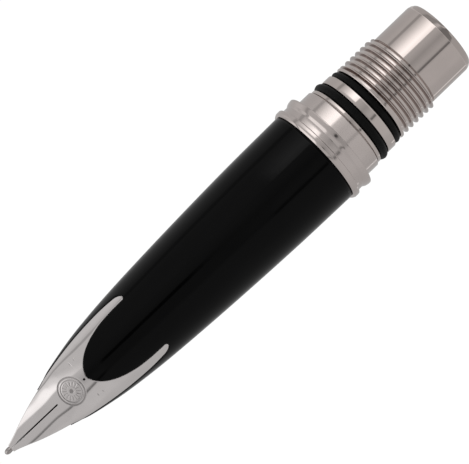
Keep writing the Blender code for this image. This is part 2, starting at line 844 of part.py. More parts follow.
def ink_nipple():
    flange_rear = NIPPLE_FRONT_X + NIPPLE_FLANGE_LENGTH
    before_end, slant = NIPPLE_SLANT
    profile = [
        (NIPPLE_FRONT_X, NIPPLE_FLANGE_R),
        (flange_rear, NIPPLE_FLANGE_R),
        (flange_rear, NIPPLE_R),
        (NIPPLE_REAR_X, NIPPLE_R),
        (NIPPLE_REAR_X, NIPPLE_BORE_R),
        (NIPPLE_FRONT_X, NIPPLE_BORE_R),
    ]
    mesh = turned(profile, SMALL_COLUMNS)
    result = bmesh.ops.bisect_plane(
        mesh,
        geom=[*mesh.verts, *mesh.edges, *mesh.faces],
        plane_co=(MM * (NIPPLE_REAR_X - before_end), 0, 0),
        plane_no=slant,
        clear_outer=True,
    )
    rim = [e for e in result["geom_cut"] if isinstance(e, bmesh.types.BMEdge)]
    bmesh.ops.bridge_loops(mesh, edges=rim)
    return finished(mesh)


def carrier_seal():
    near, far = SEAL_X
    inner, outer = SEAL_R
    edge = SEAL_EDGE
    profile = [
        (near, outer - edge),
        (near + edge, outer),
        (far - edge, outer),
        (far, outer - edge),
        (far, inner),
        (near, inner),
    ]
    return turned(profile, SMALL_COLUMNS + 8)


# ---------------------------------------------------------------- assembly


def build_connector(steel, rubber):
    parent = frame("connector_frame")
    piece("threaded_connector", threaded_connector(), steel, parent)
    for name, ring in (("front_o_ring", FRONT_O_RING), ("rear_o_ring", REAR_O_RING)):
        piece(name, o_ring(*ring), rubber, parent, ring[0])
    sleeve_steel = material("sleeve_steel", (0.74, 0.72, 0.71), 1.0, 0.16)
    piece("cartridge_sleeve", cartridge_sleeve(), sleeve_steel, parent, SLEEVE_FRONT_X)
    return parent


def build_collar(parent_frame):
    parent = frame("collar_frame")
    parent.parent = parent_frame
    look = material("collar_nickel", (0.78, 0.76, 0.73), 1.0, 0.14)
    piece("clutch_collar", clutch_collar(), look, parent)
    return parent


def build_grip(parent_frame):
    parent = frame("grip_frame")
    parent.parent = parent_frame
    lacquer = material("black_lacquer", (0.008, 0.008, 0.009), 0.0, 0.12)
    shell = piece("grip_shell", grip_shell(), lacquer, parent)
    cut(shell, "bore_cutter", grip_bore())
    cut(shell, "channel_cutter", feed_channel())
    recess = nib_sheet(NIB_THICKNESS + FIT, RECESS_RISE, FIT, slit=False)
    cut(shell, "nib_cutter", recess)
    brass = material("bush_brass", (0.72, 0.52, 0.24), 1.0, 0.3)
    piece("thread_bush", thread_bush(), brass, parent)
    build_nib(parent)
    build_feed(parent)


def build_nib(parent):
    rhodium = material("nib_rhodium", (0.80, 0.79, 0.77), 1.0, 0.12)
    iridium = material("tip_iridium", (0.62, 0.61, 0.60), 1.0, 0.28)
    sheet = nib_sheet(NIB_THICKNESS, 0.0, 0.0, slit=True)
    piece("nib", sheet, rhodium, parent)
    piece("nib_tip_left", nib_tip(1), iridium, parent)
    piece("nib_tip_right", nib_tip(-1), iridium, parent)


def build_feed(parent):
    feed_black = material("feed_black", (0.02, 0.02, 0.022), 0.0, 0.45)
    feed = piece("collector", collector(), feed_black, parent)
    cut(feed, "slot_cutter", feed_slot())
    bar_black = material("bar_black", (0.03, 0.03, 0.035), 0.0, 0.5)
    piece("feed_bar", feed_bar(), bar_black, parent)
    carrier_black = material("carrier_black", (0.025, 0.025, 0.028), 0.0, 0.4)
    piece("nipple_carrier", nipple_carrier(), carrier_black, parent)
    clear_plastic = material("nipple_plastic", (0.30, 0.31, 0.33), 0.0, 0.3)
    piece("ink_nipple", ink_nipple(), clear_plastic, parent)
    seal_rubber = material("seal_rubber", (0.03, 0.03, 0.03), 0.0, 0.7)
    piece("carrier_seal", carrier_seal(), seal_rubber, parent)


def main():
    for old in list(bpy.data.objects):
        bpy.data.objects.remove(old, do_unlink=True)
    steel = material("thread_nickel", (0.76, 0.74, 0.71), 1.0, 0.18)
    rubber = material("o_ring_rubber", (0.012, 0.012, 0.012), 0.0, 0.5)
    connector = build_connector(steel, rubber)
    collar = build_collar(connector)
    build_grip(collar)


main()
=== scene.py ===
"""The finished fountain pen front section, its materials and its studio.

The pieces are made in millimetres in the frame's own axes: +X along the pen
towards the barrel, +Z the side that the nib's upper face looks to. The studio
is in metres.
"""
import math

import bmesh
import bpy
from mathutils import Matrix, Vector
from mathutils.kdtree import KDTree


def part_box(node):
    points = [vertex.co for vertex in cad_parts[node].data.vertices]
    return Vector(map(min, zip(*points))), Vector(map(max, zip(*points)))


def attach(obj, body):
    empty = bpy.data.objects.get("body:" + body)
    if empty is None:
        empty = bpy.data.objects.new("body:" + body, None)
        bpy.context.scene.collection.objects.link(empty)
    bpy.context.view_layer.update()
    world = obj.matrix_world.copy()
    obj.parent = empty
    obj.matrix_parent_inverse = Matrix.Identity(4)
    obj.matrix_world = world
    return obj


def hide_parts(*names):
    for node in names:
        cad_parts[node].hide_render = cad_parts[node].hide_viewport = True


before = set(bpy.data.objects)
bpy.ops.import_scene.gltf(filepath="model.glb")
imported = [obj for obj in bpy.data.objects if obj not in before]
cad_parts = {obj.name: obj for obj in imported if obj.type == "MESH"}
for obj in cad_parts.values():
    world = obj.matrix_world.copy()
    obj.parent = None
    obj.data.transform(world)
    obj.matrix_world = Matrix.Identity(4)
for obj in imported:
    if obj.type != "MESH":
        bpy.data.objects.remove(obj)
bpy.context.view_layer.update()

MM = 0.001
ROUND = 160  # columns of a large turned piece
SMALL_ROUND = 96
GAP = 0.03  # between fixed pieces that touch


def reach(node):
    """Front end, rear end and outer radius of a turned node."""
    low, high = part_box(node)
    return low.x / MM, high.x / MM, high.z / MM


# ---- curves


def smooth_row(rows, x):
    """The row at x, on a smooth curve through rows sorted along x."""
    rows = sorted(rows)
    last = len(rows) - 2
    n = min(max(sum(row[0] <= x for row in rows) - 1, 0), last)
    before, low = rows[max(n - 1, 0)], rows[n]
    high, after = rows[n + 1], rows[min(n + 2, last + 1)]
    span = high[0] - low[0]
    t = (x - low[0]) / span
    values = []
    for k in range(1, len(low)):
        start = (high[k] - before[k]) / (high[0] - before[0]) * span
        end = (after[k] - low[k]) / (after[0] - low[0]) * span
        values.append(
            low[k] * (1 + 2 * t) * (1 - t) ** 2
            + start * t * (1 - t) ** 2
            + high[k] * t**2 * (3 - 2 * t)
            + end * t**2 * (t - 1)
        )
    return values


def stepped(stops, place):
    """The value at a place, on straight lines between (place, value) stops."""
    for (near, low), (far, high) in zip(stops, stops[1:]):
        if near <= place <= far:
            return low + (high - low) * (place - near) / (far - near)
    return stops[0][1] if place < stops[0][0] else stops[-1][1]


def spaced(start, end, count):
    return [start + (end - start) * n / count for n in range(count + 1)]


def share_of(value, start, end):
    """How far the value is on its way from start to end, from 0 to 1."""
    return min(max((value - start) / (end - start), 0.0), 1.0)


FLAT_CORNER = math.radians(88)  # half of an angle too flat to round
ARC_STEP = math.radians(16)


def fillet(before, corner, after, radius):
    """Points of an arc that rounds a corner between two straight sides."""
    corner = Vector(corner)
    back = Vector(before) - corner
    ahead = Vector(after) - corner
    reach_back, reach_ahead = back.length, ahead.length
    if radius <= 0 or min(reach_back, reach_ahead) < 1e-6:
        return [tuple(corner)]
    back.normalize()
    ahead.normalize()
    half = math.acos(max(-1.0, min(1.0, back.dot(ahead)))) / 2
    if half > FLAT_CORNER:
        return [tuple(corner)]
    trim = min(radius / math.tan(half), 0.49 * min(reach_back, reach_ahead))
    radius = trim * math.tan(half)
    middle = corner + (back + ahead).normalized() * radius / math.sin(half)
    start = corner + back * trim - middle
    end = corner + ahead * trim - middle
    turn = math.pi - 2 * half
    steps = max(2, math.ceil(turn / ARC_STEP))
    points = []
    for n in range(steps + 1):
        share = n / steps
        low = math.sin((1 - share) * turn) / math.sin(turn)
        high = math.sin(share * turn) / math.sin(turn)
        points.append(tuple(middle + low * start + high * end))
    return points


def rounded(corners, closed=True):
    """An outline of (a, b) or (a, b, radius) corners with the rounding done."""
    points = []
    count = len(corners)
    for n, corner in enumerate(corners):
        radius = corner[2] if len(corner) > 2 else 0.0
        if not closed and n in (0, count - 1):
            radius = 0.0
        before = corners[n - 1][:2]
        after = corners[(n + 1) % count][:2]
        points += fillet(before, corner[:2], after, radius)
    return points


# ---- meshes


THREAD_PITCH = 0.75
RUN_OUT_START = 0.08  # how far behind its end a thread's run-out would reach 0


class Thread:
    """A right-hand thread between two places on a turned profile.

    The widths are those of a crest and of a root. The run-out is the slope at
    which it rises from its rear end, or 0 where it ends at its full height.
    """

    def __init__(self, ends, radii, phase, widths, run_out=0.0):
        self.ends, self.radii = ends, radii
        self.phase, self.run_out = phase, run_out
        pitch = self.pitch = THREAD_PITCH
        crest, root = widths
        height = abs(radii[1] - radii[0])
        flank = (pitch - crest - root) / 2
        corners = [
            (-pitch / 2, 0.0), (-crest / 2 - flank, 0.0, 0.05), (-crest / 2, height, 0.045),
            (crest / 2, height, 0.045), (crest / 2 + flank, 0.0, 0.05), (pitch / 2, 0.0),
        ]
        outline = rounded(corners, closed=False)[:-1]
        self.shape = [(x / pitch, h / height) for x, h in outline]

    def rows(self, turn):
        """Every row of the thread at this share of a turn, as (x, r)."""
        low_x, high_x = min(self.ends), max(self.ends)
        first = math.floor((low_x - self.phase) / self.pitch) - 2
        last = math.ceil((high_x - self.phase) / self.pitch) + 2
        marks = [
            (self.phase + self.pitch * (lap + share + turn), height)
            for lap in range(first, last + 1)
            for share, height in self.shape
        ]
        low_r, high_r = self.radii
        outward = 1 if high_r > low_r else -1
        rows = []
        for x, height in marks:
            inside = min(max(x, low_x), high_x)
            if inside != x:
                height = stepped(marks, inside)
            rise = height * abs(high_r - low_r)
            if self.run_out:
                rise = min(rise, self.run_out * (high_x - inside + RUN_OUT_START))
            rows.append((inside, low_r + outward * rise))
        return rows if self.ends[0] < self.ends[1] else rows[::-1]


def merged(mesh, distance=0.0006):
    """The mesh with its coincident points merged."""
    bmesh.ops.remove_doubles(mesh, verts=mesh.verts, dist=distance * MM)
    bmesh.ops.dissolve_degenerate(mesh, edges=mesh.edges, dist=0.0001 * MM)
    return mesh


def grid_faces(mesh, rings, closed):
    """Quads between rings of vertices, and when closed from last to first."""
    pairs = list(zip(rings, rings[1:]))
    if closed:
        pairs.append((rings[-1], rings[0]))
    for near, far in pairs:
        for n in range(len(near)):
            following = (n + 1) % len(near)
            mesh.faces.new((near[n], near[following], far[following], far[n]))


def lofted(rings, closed=False):
    """A body through rings of (x, y, z) points, closed into a tube or capped."""
    mesh = bmesh.new()
    loops = [[mesh.verts.new([MM * v for v in point]) for point in ring] for ring in rings]
    grid_faces(mesh, loops, closed)
    if not closed:
        mesh.faces.new(loops[0])
        mesh.faces.new(loops[-1])
    return merged(mesh)


def turned(profile, columns=ROUND):
    """A body turned round the X axis from a closed profile.

    The profile lists (x, r) places and Thread stretches. A thread moves on by
    one pitch in each turn, so its last column meets its first one lap later.
    """
    mesh = bmesh.new()
    strips = []
    for column in range(columns + 1):
        turn = column / columns
        angle = math.tau * turn
        strip = []
        for item in profile:
            for x, r in item.rows(turn) if isinstance(item, Thread) else [item]:
                place = (x, r * math.cos(angle), r * math.sin(angle))
                strip.append(mesh.verts.new([MM * value for value in place]))
        strips.append(strip)
    grid_faces(mesh, strips, closed=False)
    return merged(mesh, 0.002)


def sliced(mesh, place, normal, **cleared):
    """Cuts the mesh along a plane, clears one side and returns the cut's edges."""
    bmesh.ops.recalc_face_normals(mesh, faces=mesh.faces)
    result = bmesh.ops.bisect_plane(
        mesh, geom=[*mesh.verts, *mesh.edges, *mesh.faces],
        plane_co=[MM * value for value in place], plane_no=normal, **cleared,
    )
    return [e for e in result["geom_cut"] if isinstance(e, bmesh.types.BMEdge)]


def linked(name, mesh, material):
    """A new object in the scene, made of this mesh and material."""
    data = bpy.data.meshes.new(name)
    mesh.to_mesh(data)
    mesh.free()
    data.materials.append(material)
    made = bpy.data.objects.new(name, data)
    bpy.context.collection.objects.link(made)
    return made


def piece(name, mesh, slot, body, node, sharp=35):
    """A finished object that rides on a body in place of its CAD node."""
    bmesh.ops.recalc_face_normals(mesh, faces=mesh.faces)
    made = linked(name, mesh, MATERIALS[slot])
    made.data.shade_smooth()
    made.data.set_sharp_from_angle(angle=math.radians(sharp))
    made.modifiers.new("normals", "WEIGHTED_NORMAL").keep_sharp = True
    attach(made, body)
    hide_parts(node)
    return made


# ---- materials


def put(node, **values):
    """Sets a node's inputs, named with _ for a space."""
    for name, value in values.items():
        node.inputs[name.replace("_", " ")].default_value = value


class Look:
    """A node material whose colour, roughness and relief come from noise."""

    def __init__(self, name, **sockets):
        self.material = bpy.data.materials.new(name)
        self.material.use_nodes = True
        self.nodes = self.material.node_tree.nodes
        self.links = self.material.node_tree.links
        self.shader = self.nodes["Principled BSDF"]
        put(self.shader, **sockets)
        self.place = self.node("ShaderNodeTexCoord").outputs["Object"]
        self.normal = None

    def node(self, kind, *inputs, **settings):
        """A new node with these settings, whose first inputs take these outputs."""
        made = self.nodes.new(kind)
        for name, value in settings.items():
            setattr(made, name, value)
        for n, output in enumerate(inputs):
            self.links.new(output, made.inputs[n])
        return made

    def drive(self, socket, output):
        self.links.new(output, self.shader.inputs[socket])

    def noise(self, size, detail, distortion=0.0):
        """Noise whose features have this size in millimetres along X, Y, Z."""
        mapping = self.node("ShaderNodeMapping", self.place)
        put(mapping, Scale=[1 / (MM * s) for s in size])
        texture = self.node("ShaderNodeTexNoise", mapping.outputs[0])
        put(texture, Scale=1.0, Detail=detail, Roughness=0.55, Distortion=distortion)
        return texture.outputs[0]

    def spread(self, value, low, high, start=0.3, end=0.7, **settings):
        """The value between start and end, spread from low to high."""
        ramp = self.node("ShaderNodeMapRange", value, clamp=True, **settings)
        put(ramp, From_Min=start, From_Max=end, To_Min=low, To_Max=high)
        return ramp.outputs[0]

    def mixed(self, share, dark, light):
        """A colour between dark and light; either may be another colour output."""
        mix = self.node("ShaderNodeMix", share, data_type="RGBA")
        for socket, color in ((mix.inputs[6], dark), (mix.inputs[7], light)):
            if isinstance(color, tuple):
                socket.default_value = (*color, 1.0)
            else:
                self.links.new(color, socket)
        return mix.outputs[2]

    def blend(self, noise, dark, light):
        return self.mixed(self.spread(noise, 0, 1), dark, light)

    def relief(self, height, depth):
        """Bump of this depth in millimetres, on top of any that is there."""
        bump = self.node("ShaderNodeBump")
        put(bump, Strength=1.0, Distance=MM * depth)
        self.links.new(height, bump.inputs["Height"])
        if self.normal:
            self.links.new(self.normal, bump.inputs["Normal"])
        self.normal = bump.outputs["Normal"]
        self.drive("Normal", self.normal)

    def math(self, operation, *values, **settings):
        return self.node("ShaderNodeMath", *values, operation=operation, **settings).outputs[0]

    def length(self, vector):
        return self.node("ShaderNodeVectorMath", vector, operation="LENGTH").outputs["Value"]

    def attribute(self, name):
        return self.node("ShaderNodeAttribute", attribute_name=name).outputs["Fac"]


# Painted shade on the flanks of the barrel thread: its colour, and where it lies by radius and
# along X
FLANK_SHADE = (0.46, 0.40, 0.38)
FLANK_SHADE_R = (4.63, 4.72, 4.90, 4.97)  # starts, is full from here, to here, and ends
FLANK_SHADE_X = (5.95, 6.10)  # starts, is full from here


def flank_shaded(look, color):
    """The colour, darkened on the flanks of the barrel thread: painted shade between its
    crests.
    """
    parts = look.node("ShaderNodeSeparateXYZ", look.place)
    radial = look.node("ShaderNodeCombineXYZ")
    for axis in "YZ":
        look.links.new(parts.outputs[axis], radial.inputs[axis])
    radius = look.length(radial.outputs[0])
    above = look.spread(radius, 0, 1, MM * FLANK_SHADE_R[0], MM * FLANK_SHADE_R[1])
    below = look.spread(radius, 1, 0, MM * FLANK_SHADE_R[2], MM * FLANK_SHADE_R[3])
    behind = look.spread(parts.outputs["X"], 0, 1, MM * FLANK_SHADE_X[0], MM * FLANK_SHADE_X[1])
    flank_shade = look.math("MULTIPLY", look.math("MULTIPLY", above, below), behind)
    return look.mixed(flank_shade, color, FLANK_SHADE)


def turned_metal(name, light, dark, roughness, marks, flank_shade=False):
    """Plated metal with fine turning marks that run round the axis."""
    look = Look(name, Metallic=1.0)
    rings = look.noise((0.035, 6, 6), 4)
    cloud = look.noise((2.5, 2.5, 2.5), 4)
    color = look.blend(cloud, dark, light)
    # where asked for, the thread's flanks get painted shade in their colour
    look.drive("Base Color", flank_shaded(look, color) if flank_shade else color)
    low, high = roughness
    fine = look.spread(rings, 0, (high - low) * 0.6)
    wide = look.spread(cloud, low, low + (high - low) * 0.4)
    look.drive("Roughness", look.math("ADD", fine, wide, use_clamp=True))
    look.relief(rings, marks)
    return look.material


def nib_metal(name):
    """Rhodium plate, polished lengthwise, with a matt ground in the engraving and painted
    shade, near black, in the slit and the dimple.
    """
    look = Look(name, Metallic=1.0)
    polish = look.noise((3.0, 0.03, 0.03), 4)
    cloud = look.noise((1.8, 1.8, 1.8), 4)
    light, dark = (0.775, 0.735, 0.725), (0.735, 0.695, 0.685)
    matt, black = (0.40, 0.375, 0.37), (0.03, 0.028, 0.028)
    cut = look.attribute("engraved")
    color = look.mixed(cut, look.blend(cloud, dark, light), matt)
    # painted shade: near black where the slit's walls and the dimple are marked
    look.drive("Base Color", look.mixed(look.attribute("painted_shade"), color, black))
    fine, wide = look.spread(polish, 0.0, 0.035), look.spread(cloud, 0.05, 0.08)
    base = look.math("ADD", fine, wide, use_clamp=True)
    ground = look.spread(cut, 0.0, 0.30, 0.0, 1.0)
    look.drive("Roughness", look.math("ADD", base, ground, use_clamp=True))
    look.relief(polish, 0.00012)
    grain = look.noise((0.02, 0.02, 0.02), 2)
    look.relief(look.math("MULTIPLY", grain, cut), 0.004)
    return look.material


def grained(name, dark, light, roughness, noises, depth, **shader):
    """A material whose colour, roughness and relief follow these three noises."""
    look = Look(name, **shader)
    tint, wear, height = (look.noise(*noise) for noise in noises)
    look.drive("Base Color", look.blend(tint, dark, light))
    look.drive("Roughness", look.spread(wear, *roughness))
    look.relief(height, depth)
    return look.material


def ground_alloy(name, dark, light):
    """The hard alloy of the writing point, ground to a satin finish."""
    grit = ((0.03, 0.03, 0.03), 3)
    return grained(name, dark, light, (0.22, 0.36), [grit] * 3, 0.0008, Metallic=1.0)


def lacquer(name, dark, light):
    """Deep black lacquer: a mirror gloss with a faint orange peel."""
    haze, peel = ((4.0, 2.0, 2.0), 5), ((1.1, 1.1, 1.1), 2)
    return grained(name, dark, light, (0.04, 0.09), (haze, haze, peel), 0.0012, IOR=1.20)


def rubber(name, dark, light):
    """Satin rubber with a fine grain and a faint bloom."""
    bloom, grain = ((1.4, 0.8, 0.8), 4), ((0.06, 0.06, 0.06), 4)
    return grained(name, dark, light, (0.38, 0.58), (bloom, grain, grain), 0.004, IOR=1.18)


def plastic(name, dark, light, roughness):
    """Moulded plastic with a fine grain and faint flow marks."""
    flow, grain = ((3.5, 1.2, 1.2), 3, 0.6), ((0.12, 0.12, 0.12), 4)
    limits = (roughness - 0.07, roughness + 0.07)
    return grained(name, dark, light, limits, (flow, grain, grain), 0.004, IOR=1.45)


RECIPES = {
    # its True asks for painted shade on the barrel thread's flanks
    "thread_nickel": (
        turned_metal, (0.66, 0.59, 0.56), (0.625, 0.555, 0.525), (0.03, 0.08), 0.0005, True
    ),
    "sleeve_steel": (
        turned_metal, (0.64, 0.565, 0.535), (0.61, 0.54, 0.51), (0.03, 0.08), 0.0002
    ),
    "collar_nickel": (
        turned_metal, (0.65, 0.585, 0.56), (0.62, 0.555, 0.53), (0.09, 0.15), 0.0003
    ),
    "bush_brass": (turned_metal, (0.78, 0.57, 0.27), (0.70, 0.50, 0.23), (0.20, 0.36), 0.002),
    "nib_rhodium": (nib_metal,),
    "tip_iridium": (ground_alloy, (0.40, 0.37, 0.36), (0.50, 0.465, 0.455)),
    "black_lacquer": (lacquer, (0.0005, 0.0005, 0.0006), (0.0010, 0.0010, 0.0011)),
    "o_ring_rubber": (rubber, (0.004, 0.004, 0.004), (0.007, 0.007, 0.007)),
    "seal_rubber": (rubber, (0.022, 0.022, 0.022), (0.034, 0.033, 0.033)),
    "feed_black": (plastic, (0.012, 0.012, 0.014), (0.020, 0.020, 0.023), 0.42),
    "bar_black": (plastic, (0.022, 0.022, 0.026), (0.034, 0.034, 0.039), 0.48),
    "carrier_black": (plastic, (0.018, 0.018, 0.021), (0.028, 0.028, 0.031), 0.38),
    "nipple_plastic": (plastic, (0.26, 0.27, 0.29), (0.33, 0.34, 0.36), 0.30),
}
MATERIALS = {slot: make(slot, *values) for slot, (make, *values) in RECIPES.items()}


# ---- connector

# Ends, root and crest radius, phase, widths of crest and root, and run-out
BARREL_THREAD = ((6.1, 10.85), (4.6, 5.0), 0.43, (0.07, 0.29), 3.0)
GRIP_THREAD = ((-8.6, -3.6), (4.08, 4.5), 0.0, (0.05, 0.06))
NOSE_R = 3.95
BORE_R = 3.85
NECK_BORE_R = 3.0
NECK_STEP_X = -4.0
SPIGOT_R = 4.5
SPIGOT_FRONT_X = -2.85
REAR_SPIGOT_R = 4.2
SHOULDER_X = 1.96
SHOULDER_GAP = (0.08, 4.8)  # dark line before the shoulder: width and floor radius
MIDDLE_BAND_R = 5.105
GROOVES = ((2.45, 3.65, 4.25), (4.74, 5.8, 4.1))  # front, rear and floor radius
GROOVE_ROUND = 0.08
THREAD_CHAMFER = 0.14
REAR_CHAMFER = 0.15
EDGE = 0.05  # rounding of most edges of the turned pieces


def threaded_connector():
    front, rear, shoulder_r = reach("threaded_connector")
    (near1, far1, floor1), (near2, far2, floor2) = GROOVES
    (thread_front, thread_rear), (root, crest) = BARREL_THREAD[:2]
    (grip_front, grip_rear), (grip_root, _) = GRIP_THREAD[:2]
    neck_r = grip_root - 0.02
    gap, gap_r = SHOULDER_GAP
    before = rounded([
        (front, NOSE_R - 0.15), (front + 0.15, NOSE_R, EDGE), (grip_front - 0.05, NOSE_R),
        (grip_front, NOSE_R),
    ], closed=False)
    middle = rounded([
        (grip_rear, neck_r), (SPIGOT_FRONT_X, neck_r, 0.06), (SPIGOT_FRONT_X, SPIGOT_R, EDGE),
        (SHOULDER_X, SPIGOT_R, 0.03), (SHOULDER_X, gap_r), (SHOULDER_X + gap, gap_r),
        (SHOULDER_X + gap, shoulder_r, 0.03), (near1, shoulder_r, EDGE),
        (near1, floor1, GROOVE_ROUND), (far1, floor1, GROOVE_ROUND),
        (far1, MIDDLE_BAND_R, EDGE), (near2, MIDDLE_BAND_R, EDGE),
        (near2, floor2, GROOVE_ROUND), (far2, floor2, GROOVE_ROUND),
        (far2, crest - THREAD_CHAMFER, 0.03), (far2 + THREAD_CHAMFER, crest, 0.06),
        (thread_front, crest, 0.02), (thread_front, root),
    ], closed=False)
    after = rounded([
        (thread_rear, root), (thread_rear, REAR_SPIGOT_R, EDGE),
        (rear - REAR_CHAMFER, REAR_SPIGOT_R, EDGE), (rear, REAR_SPIGOT_R - REAR_CHAMFER, EDGE),
        (rear, BORE_R, EDGE), (NECK_STEP_X, BORE_R, EDGE),
        (NECK_STEP_X - 0.5, NECK_BORE_R, EDGE), (front, NECK_BORE_R),
    ], closed=False)
    mesh = turned([*before, Thread(*GRIP_THREAD), *middle, Thread(*BARREL_THREAD), *after])
    piece("connector_body", mesh, "thread_nickel", "connector", "threaded_connector")


RING_POINTS = 36  # round a seal ring's section
MOULD_LINE = 0.012


def o_ring(node):
    """A moulded ring of round section, with a faint line where its mould parted."""
    front, rear, outer = reach(node)
    section = (rear - front) / 2
    profile = []
    for n in range(RING_POINTS):
        angle = math.tau * n / RING_POINTS
        grow = MOULD_LINE if n == RING_POINTS // 4 else 0.0
        x = (front + rear) / 2 - section * math.cos(angle)
        profile.append((x, outer - section + (section + grow) * math.sin(angle)))
    name = node.replace("o_ring", "seal_ring")
    piece(name, turned(profile), "o_ring_rubber", "connector", node)


SLEEVE_GAP = 0.08  # opens the joint before the sleeve to a visible line


def cartridge_sleeve():
    front, rear, outer = reach("cartridge_sleeve")
    bore, end_r, chamfer_x = 3.95, 4.26, 16.06
    socket_x, socket_r = reach("threaded_connector")[1] + GAP, REAR_SPIGOT_R + GAP
    profile = rounded([
        (front + SLEEVE_GAP, outer, EDGE), (chamfer_x, outer, 0.90),
        (chamfer_x + 0.42, outer - 0.12, 0.25), (rear, end_r, 0.10), (rear, bore, 0.07),
        (socket_x, bore, 0.03), (socket_x, socket_r, 0.03),
        (front + SLEEVE_GAP, socket_r, 0.03),
    ])
    piece("sleeve", turned(profile), "sleeve_steel", "connector", "cartridge_sleeve")


# ---- collar

# Corners of the ridge's slope, from the waist to the stop face
RIDGE = (
    (-0.92, 5.82, 0.14), (-0.62, 6.00, 0.50), (-0.45, 6.055, 1.00), (-0.30, 6.088, 1.50),
    (-0.15, 6.105, 1.50), (0.0, 6.11, 0.05),
)


def clutch_collar():
    front, rear, bead_r = reach("clutch_collar")
    bead_rear_x, band_r, bore = -1.70, 5.316, SPIGOT_R + GAP
    profile = rounded([
        (front, 5.66), (front, 5.97, 0.04), (front + 0.25, bead_r, 0.30),
        (bead_rear_x, bead_r, 0.10), (bead_rear_x, RIDGE[0][1], 0.06), *RIDGE,
        (0.0, band_r, 0.04), (rear, band_r, 0.11), (rear, bore, EDGE), (front, bore, EDGE),
    ])
    piece("trim_collar", turned(profile), "collar_nickel", "collar", "clutch_collar")


# ---- grip

# Rows of x, half-width, top height, widest level and bottom height
GRIP_ROWS = (
    (-2.5, 5.78, 5.78, 0.0, -5.78),
    (-10.5, 5.65, 5.65, 0.0, -5.65),
    (-19.1, 5.33, 5.33, 0.0, -5.33),
    (-26.0, 4.97, 4.97, 0.0, -4.97),
    (-30.0, 4.68, 4.66, 0.0, -4.68),
    (-33.0, 4.37, 4.24, 0.0, -4.42),
    (-35.0, 4.10, 3.84, 0.08, -4.19),
    (-37.0, 3.74, 3.28, 0.50, -3.89),
    (-39.0, 3.31, 2.62, 0.77, -3.53),
    (-40.5, 2.90, 2.06, 0.66, -3.20),
    (-42.0, 2.76, 1.46, 0.01, -2.82),
    (-45.0, 2.40, 0.16, -0.83, -2.50),
    (-48.5, 2.00, -1.46, -2.22, -2.60),
)
CHIN_START_X = -39.6  # before it, the grip rounds off to its front end
CHIN_SHRINK = 0.32  # how much smaller it is there
FEED_BORE = (-34.3, 3.55)  # front and radius
CARRIER_SEAT = (-11.92, 4.2)
BUSH_SEAT = (-9.0, 5.0)

NIB_THICKNESS = 0.35
SLIT_WIDTH = 0.15
SLIT_TIP_WIDTH = 0.02
SLIT_FOOT = 0.003  # half of its width at the sheet's underside
SLIT_TAPER_X = (-47.2, -46.2)  # where the slit opens from one width to the other
SLIT_END_X = -41.0
# Rows of x and half-width of the nib's outer edge
NIB_OUTER_ROWS = (
    (-48.5, 0.24), (-47.3, 0.51), (-46.4, 0.83), (-44.75, 1.50), (-43.0, 2.09), (-41.3, 2.57),
    (-40.0, 2.97), (-38.6, 3.28), (-36.5, 3.63), (-34.4, 3.88), (-32.3, 4.03), (-30.8, 4.07),
    (-29.4, 4.02), (-28.0, 3.89),
)
GRIP_FRONT_X, GRIP_REAR_X, _ = reach("grip_shell")
NIB_FRONT_X, NIB_REAR_X, _ = reach("nib")
WING_OUTER_ROUND_X = NIB_REAR_X - 1.1  # where the rounding of the wing's end begins
WING_INNER_ROUND_X = NIB_REAR_X - 0.35
WING_END_Y = 3.55
TONGUE_APEX_X = -36.9
TONGUE_HALF_WIDTH = 3.29
TONGUE_POWERS = (2.8, 1.7)  # of its outline, along it and across it
SEAM = 0.07  # gap between the nib and the lacquer round it
LIP = 0.035  # rounding of the lacquer at the seam
# Columns of one side of the grip's ring, over the tongue, the seat and the rest
TONGUE_COLUMNS, SEAT_COLUMNS, SIDE_COLUMNS = 12, 8, 30
CHIN_TURN = (12, 24, 36, 47, 57, 66, 74, 81, 86, 90)  # degrees of its rounding
# Distances from the tongue's apex and from the wings' ends, closest where they turn
APEX_TURN = (
    0.004, 0.015, 0.035, 0.065, 0.11, 0.17, 0.25, 0.36,
    0.5, 0.7, 0.95, 1.25, 1.6, 2.0, 2.5, 3.1,
)
WING_TURN = (1.0, 0.85, 0.7, 0.56, 0.44, 0.34, 0.25, 0.17, 0.11, 0.065, 0.03, 0.01, 0.0)


def section_place(row, angle):
    """Where a cross-section's outline is at an angle from its top, as (y, z)."""
    width, top, middle, bottom = row
    height = top - middle if math.cos(angle) > 0 else middle - bottom
    return width * math.sin(angle), middle + height * math.cos(angle)


def section_ring(x, row, columns):
    turns = [math.tau * n / columns for n in range(columns)]
    return [(x, *section_place(row, angle)) for angle in turns]


def surface_place(x, angle, depth=0.0):
    """A place on the grip's outer surface at an angle from its top, or under it."""
    place = Vector((x, *section_place(smooth_row(GRIP_ROWS, x), angle)))
    if depth:
        step = 0.002
        along = surface_place(x + step, angle) - surface_place(x - step, angle)
        across = surface_place(x, angle + step) - surface_place(x, angle - step)
        place += depth * across.cross(along).normalized()
    return place


def surface_angle(x, y):
    """The angle from the top at which the upper surface has this half-width."""
    width = smooth_row(GRIP_ROWS, x)[0]
    return math.asin(min(y / width, 1.0))


def surface_share(x, angle, distance):
    """The angle that spans a distance across the upper surface."""
    width, top, middle, _ = smooth_row(GRIP_ROWS, x)
    return distance / math.hypot(width * math.cos(angle), (top - middle) * math.sin(angle))


def nib_outer(x):
    """Half-width of the nib's outer edge, with the wing's end rounded."""
    if x < WING_OUTER_ROUND_X:
        return smooth_row(NIB_OUTER_ROWS, x)[0]
    share = share_of(x, WING_OUTER_ROUND_X, NIB_REAR_X)
    start = smooth_row(NIB_OUTER_ROWS, WING_OUTER_ROUND_X)[0]
    return WING_END_Y + (start - WING_END_Y) * math.sqrt(1 - share**2)


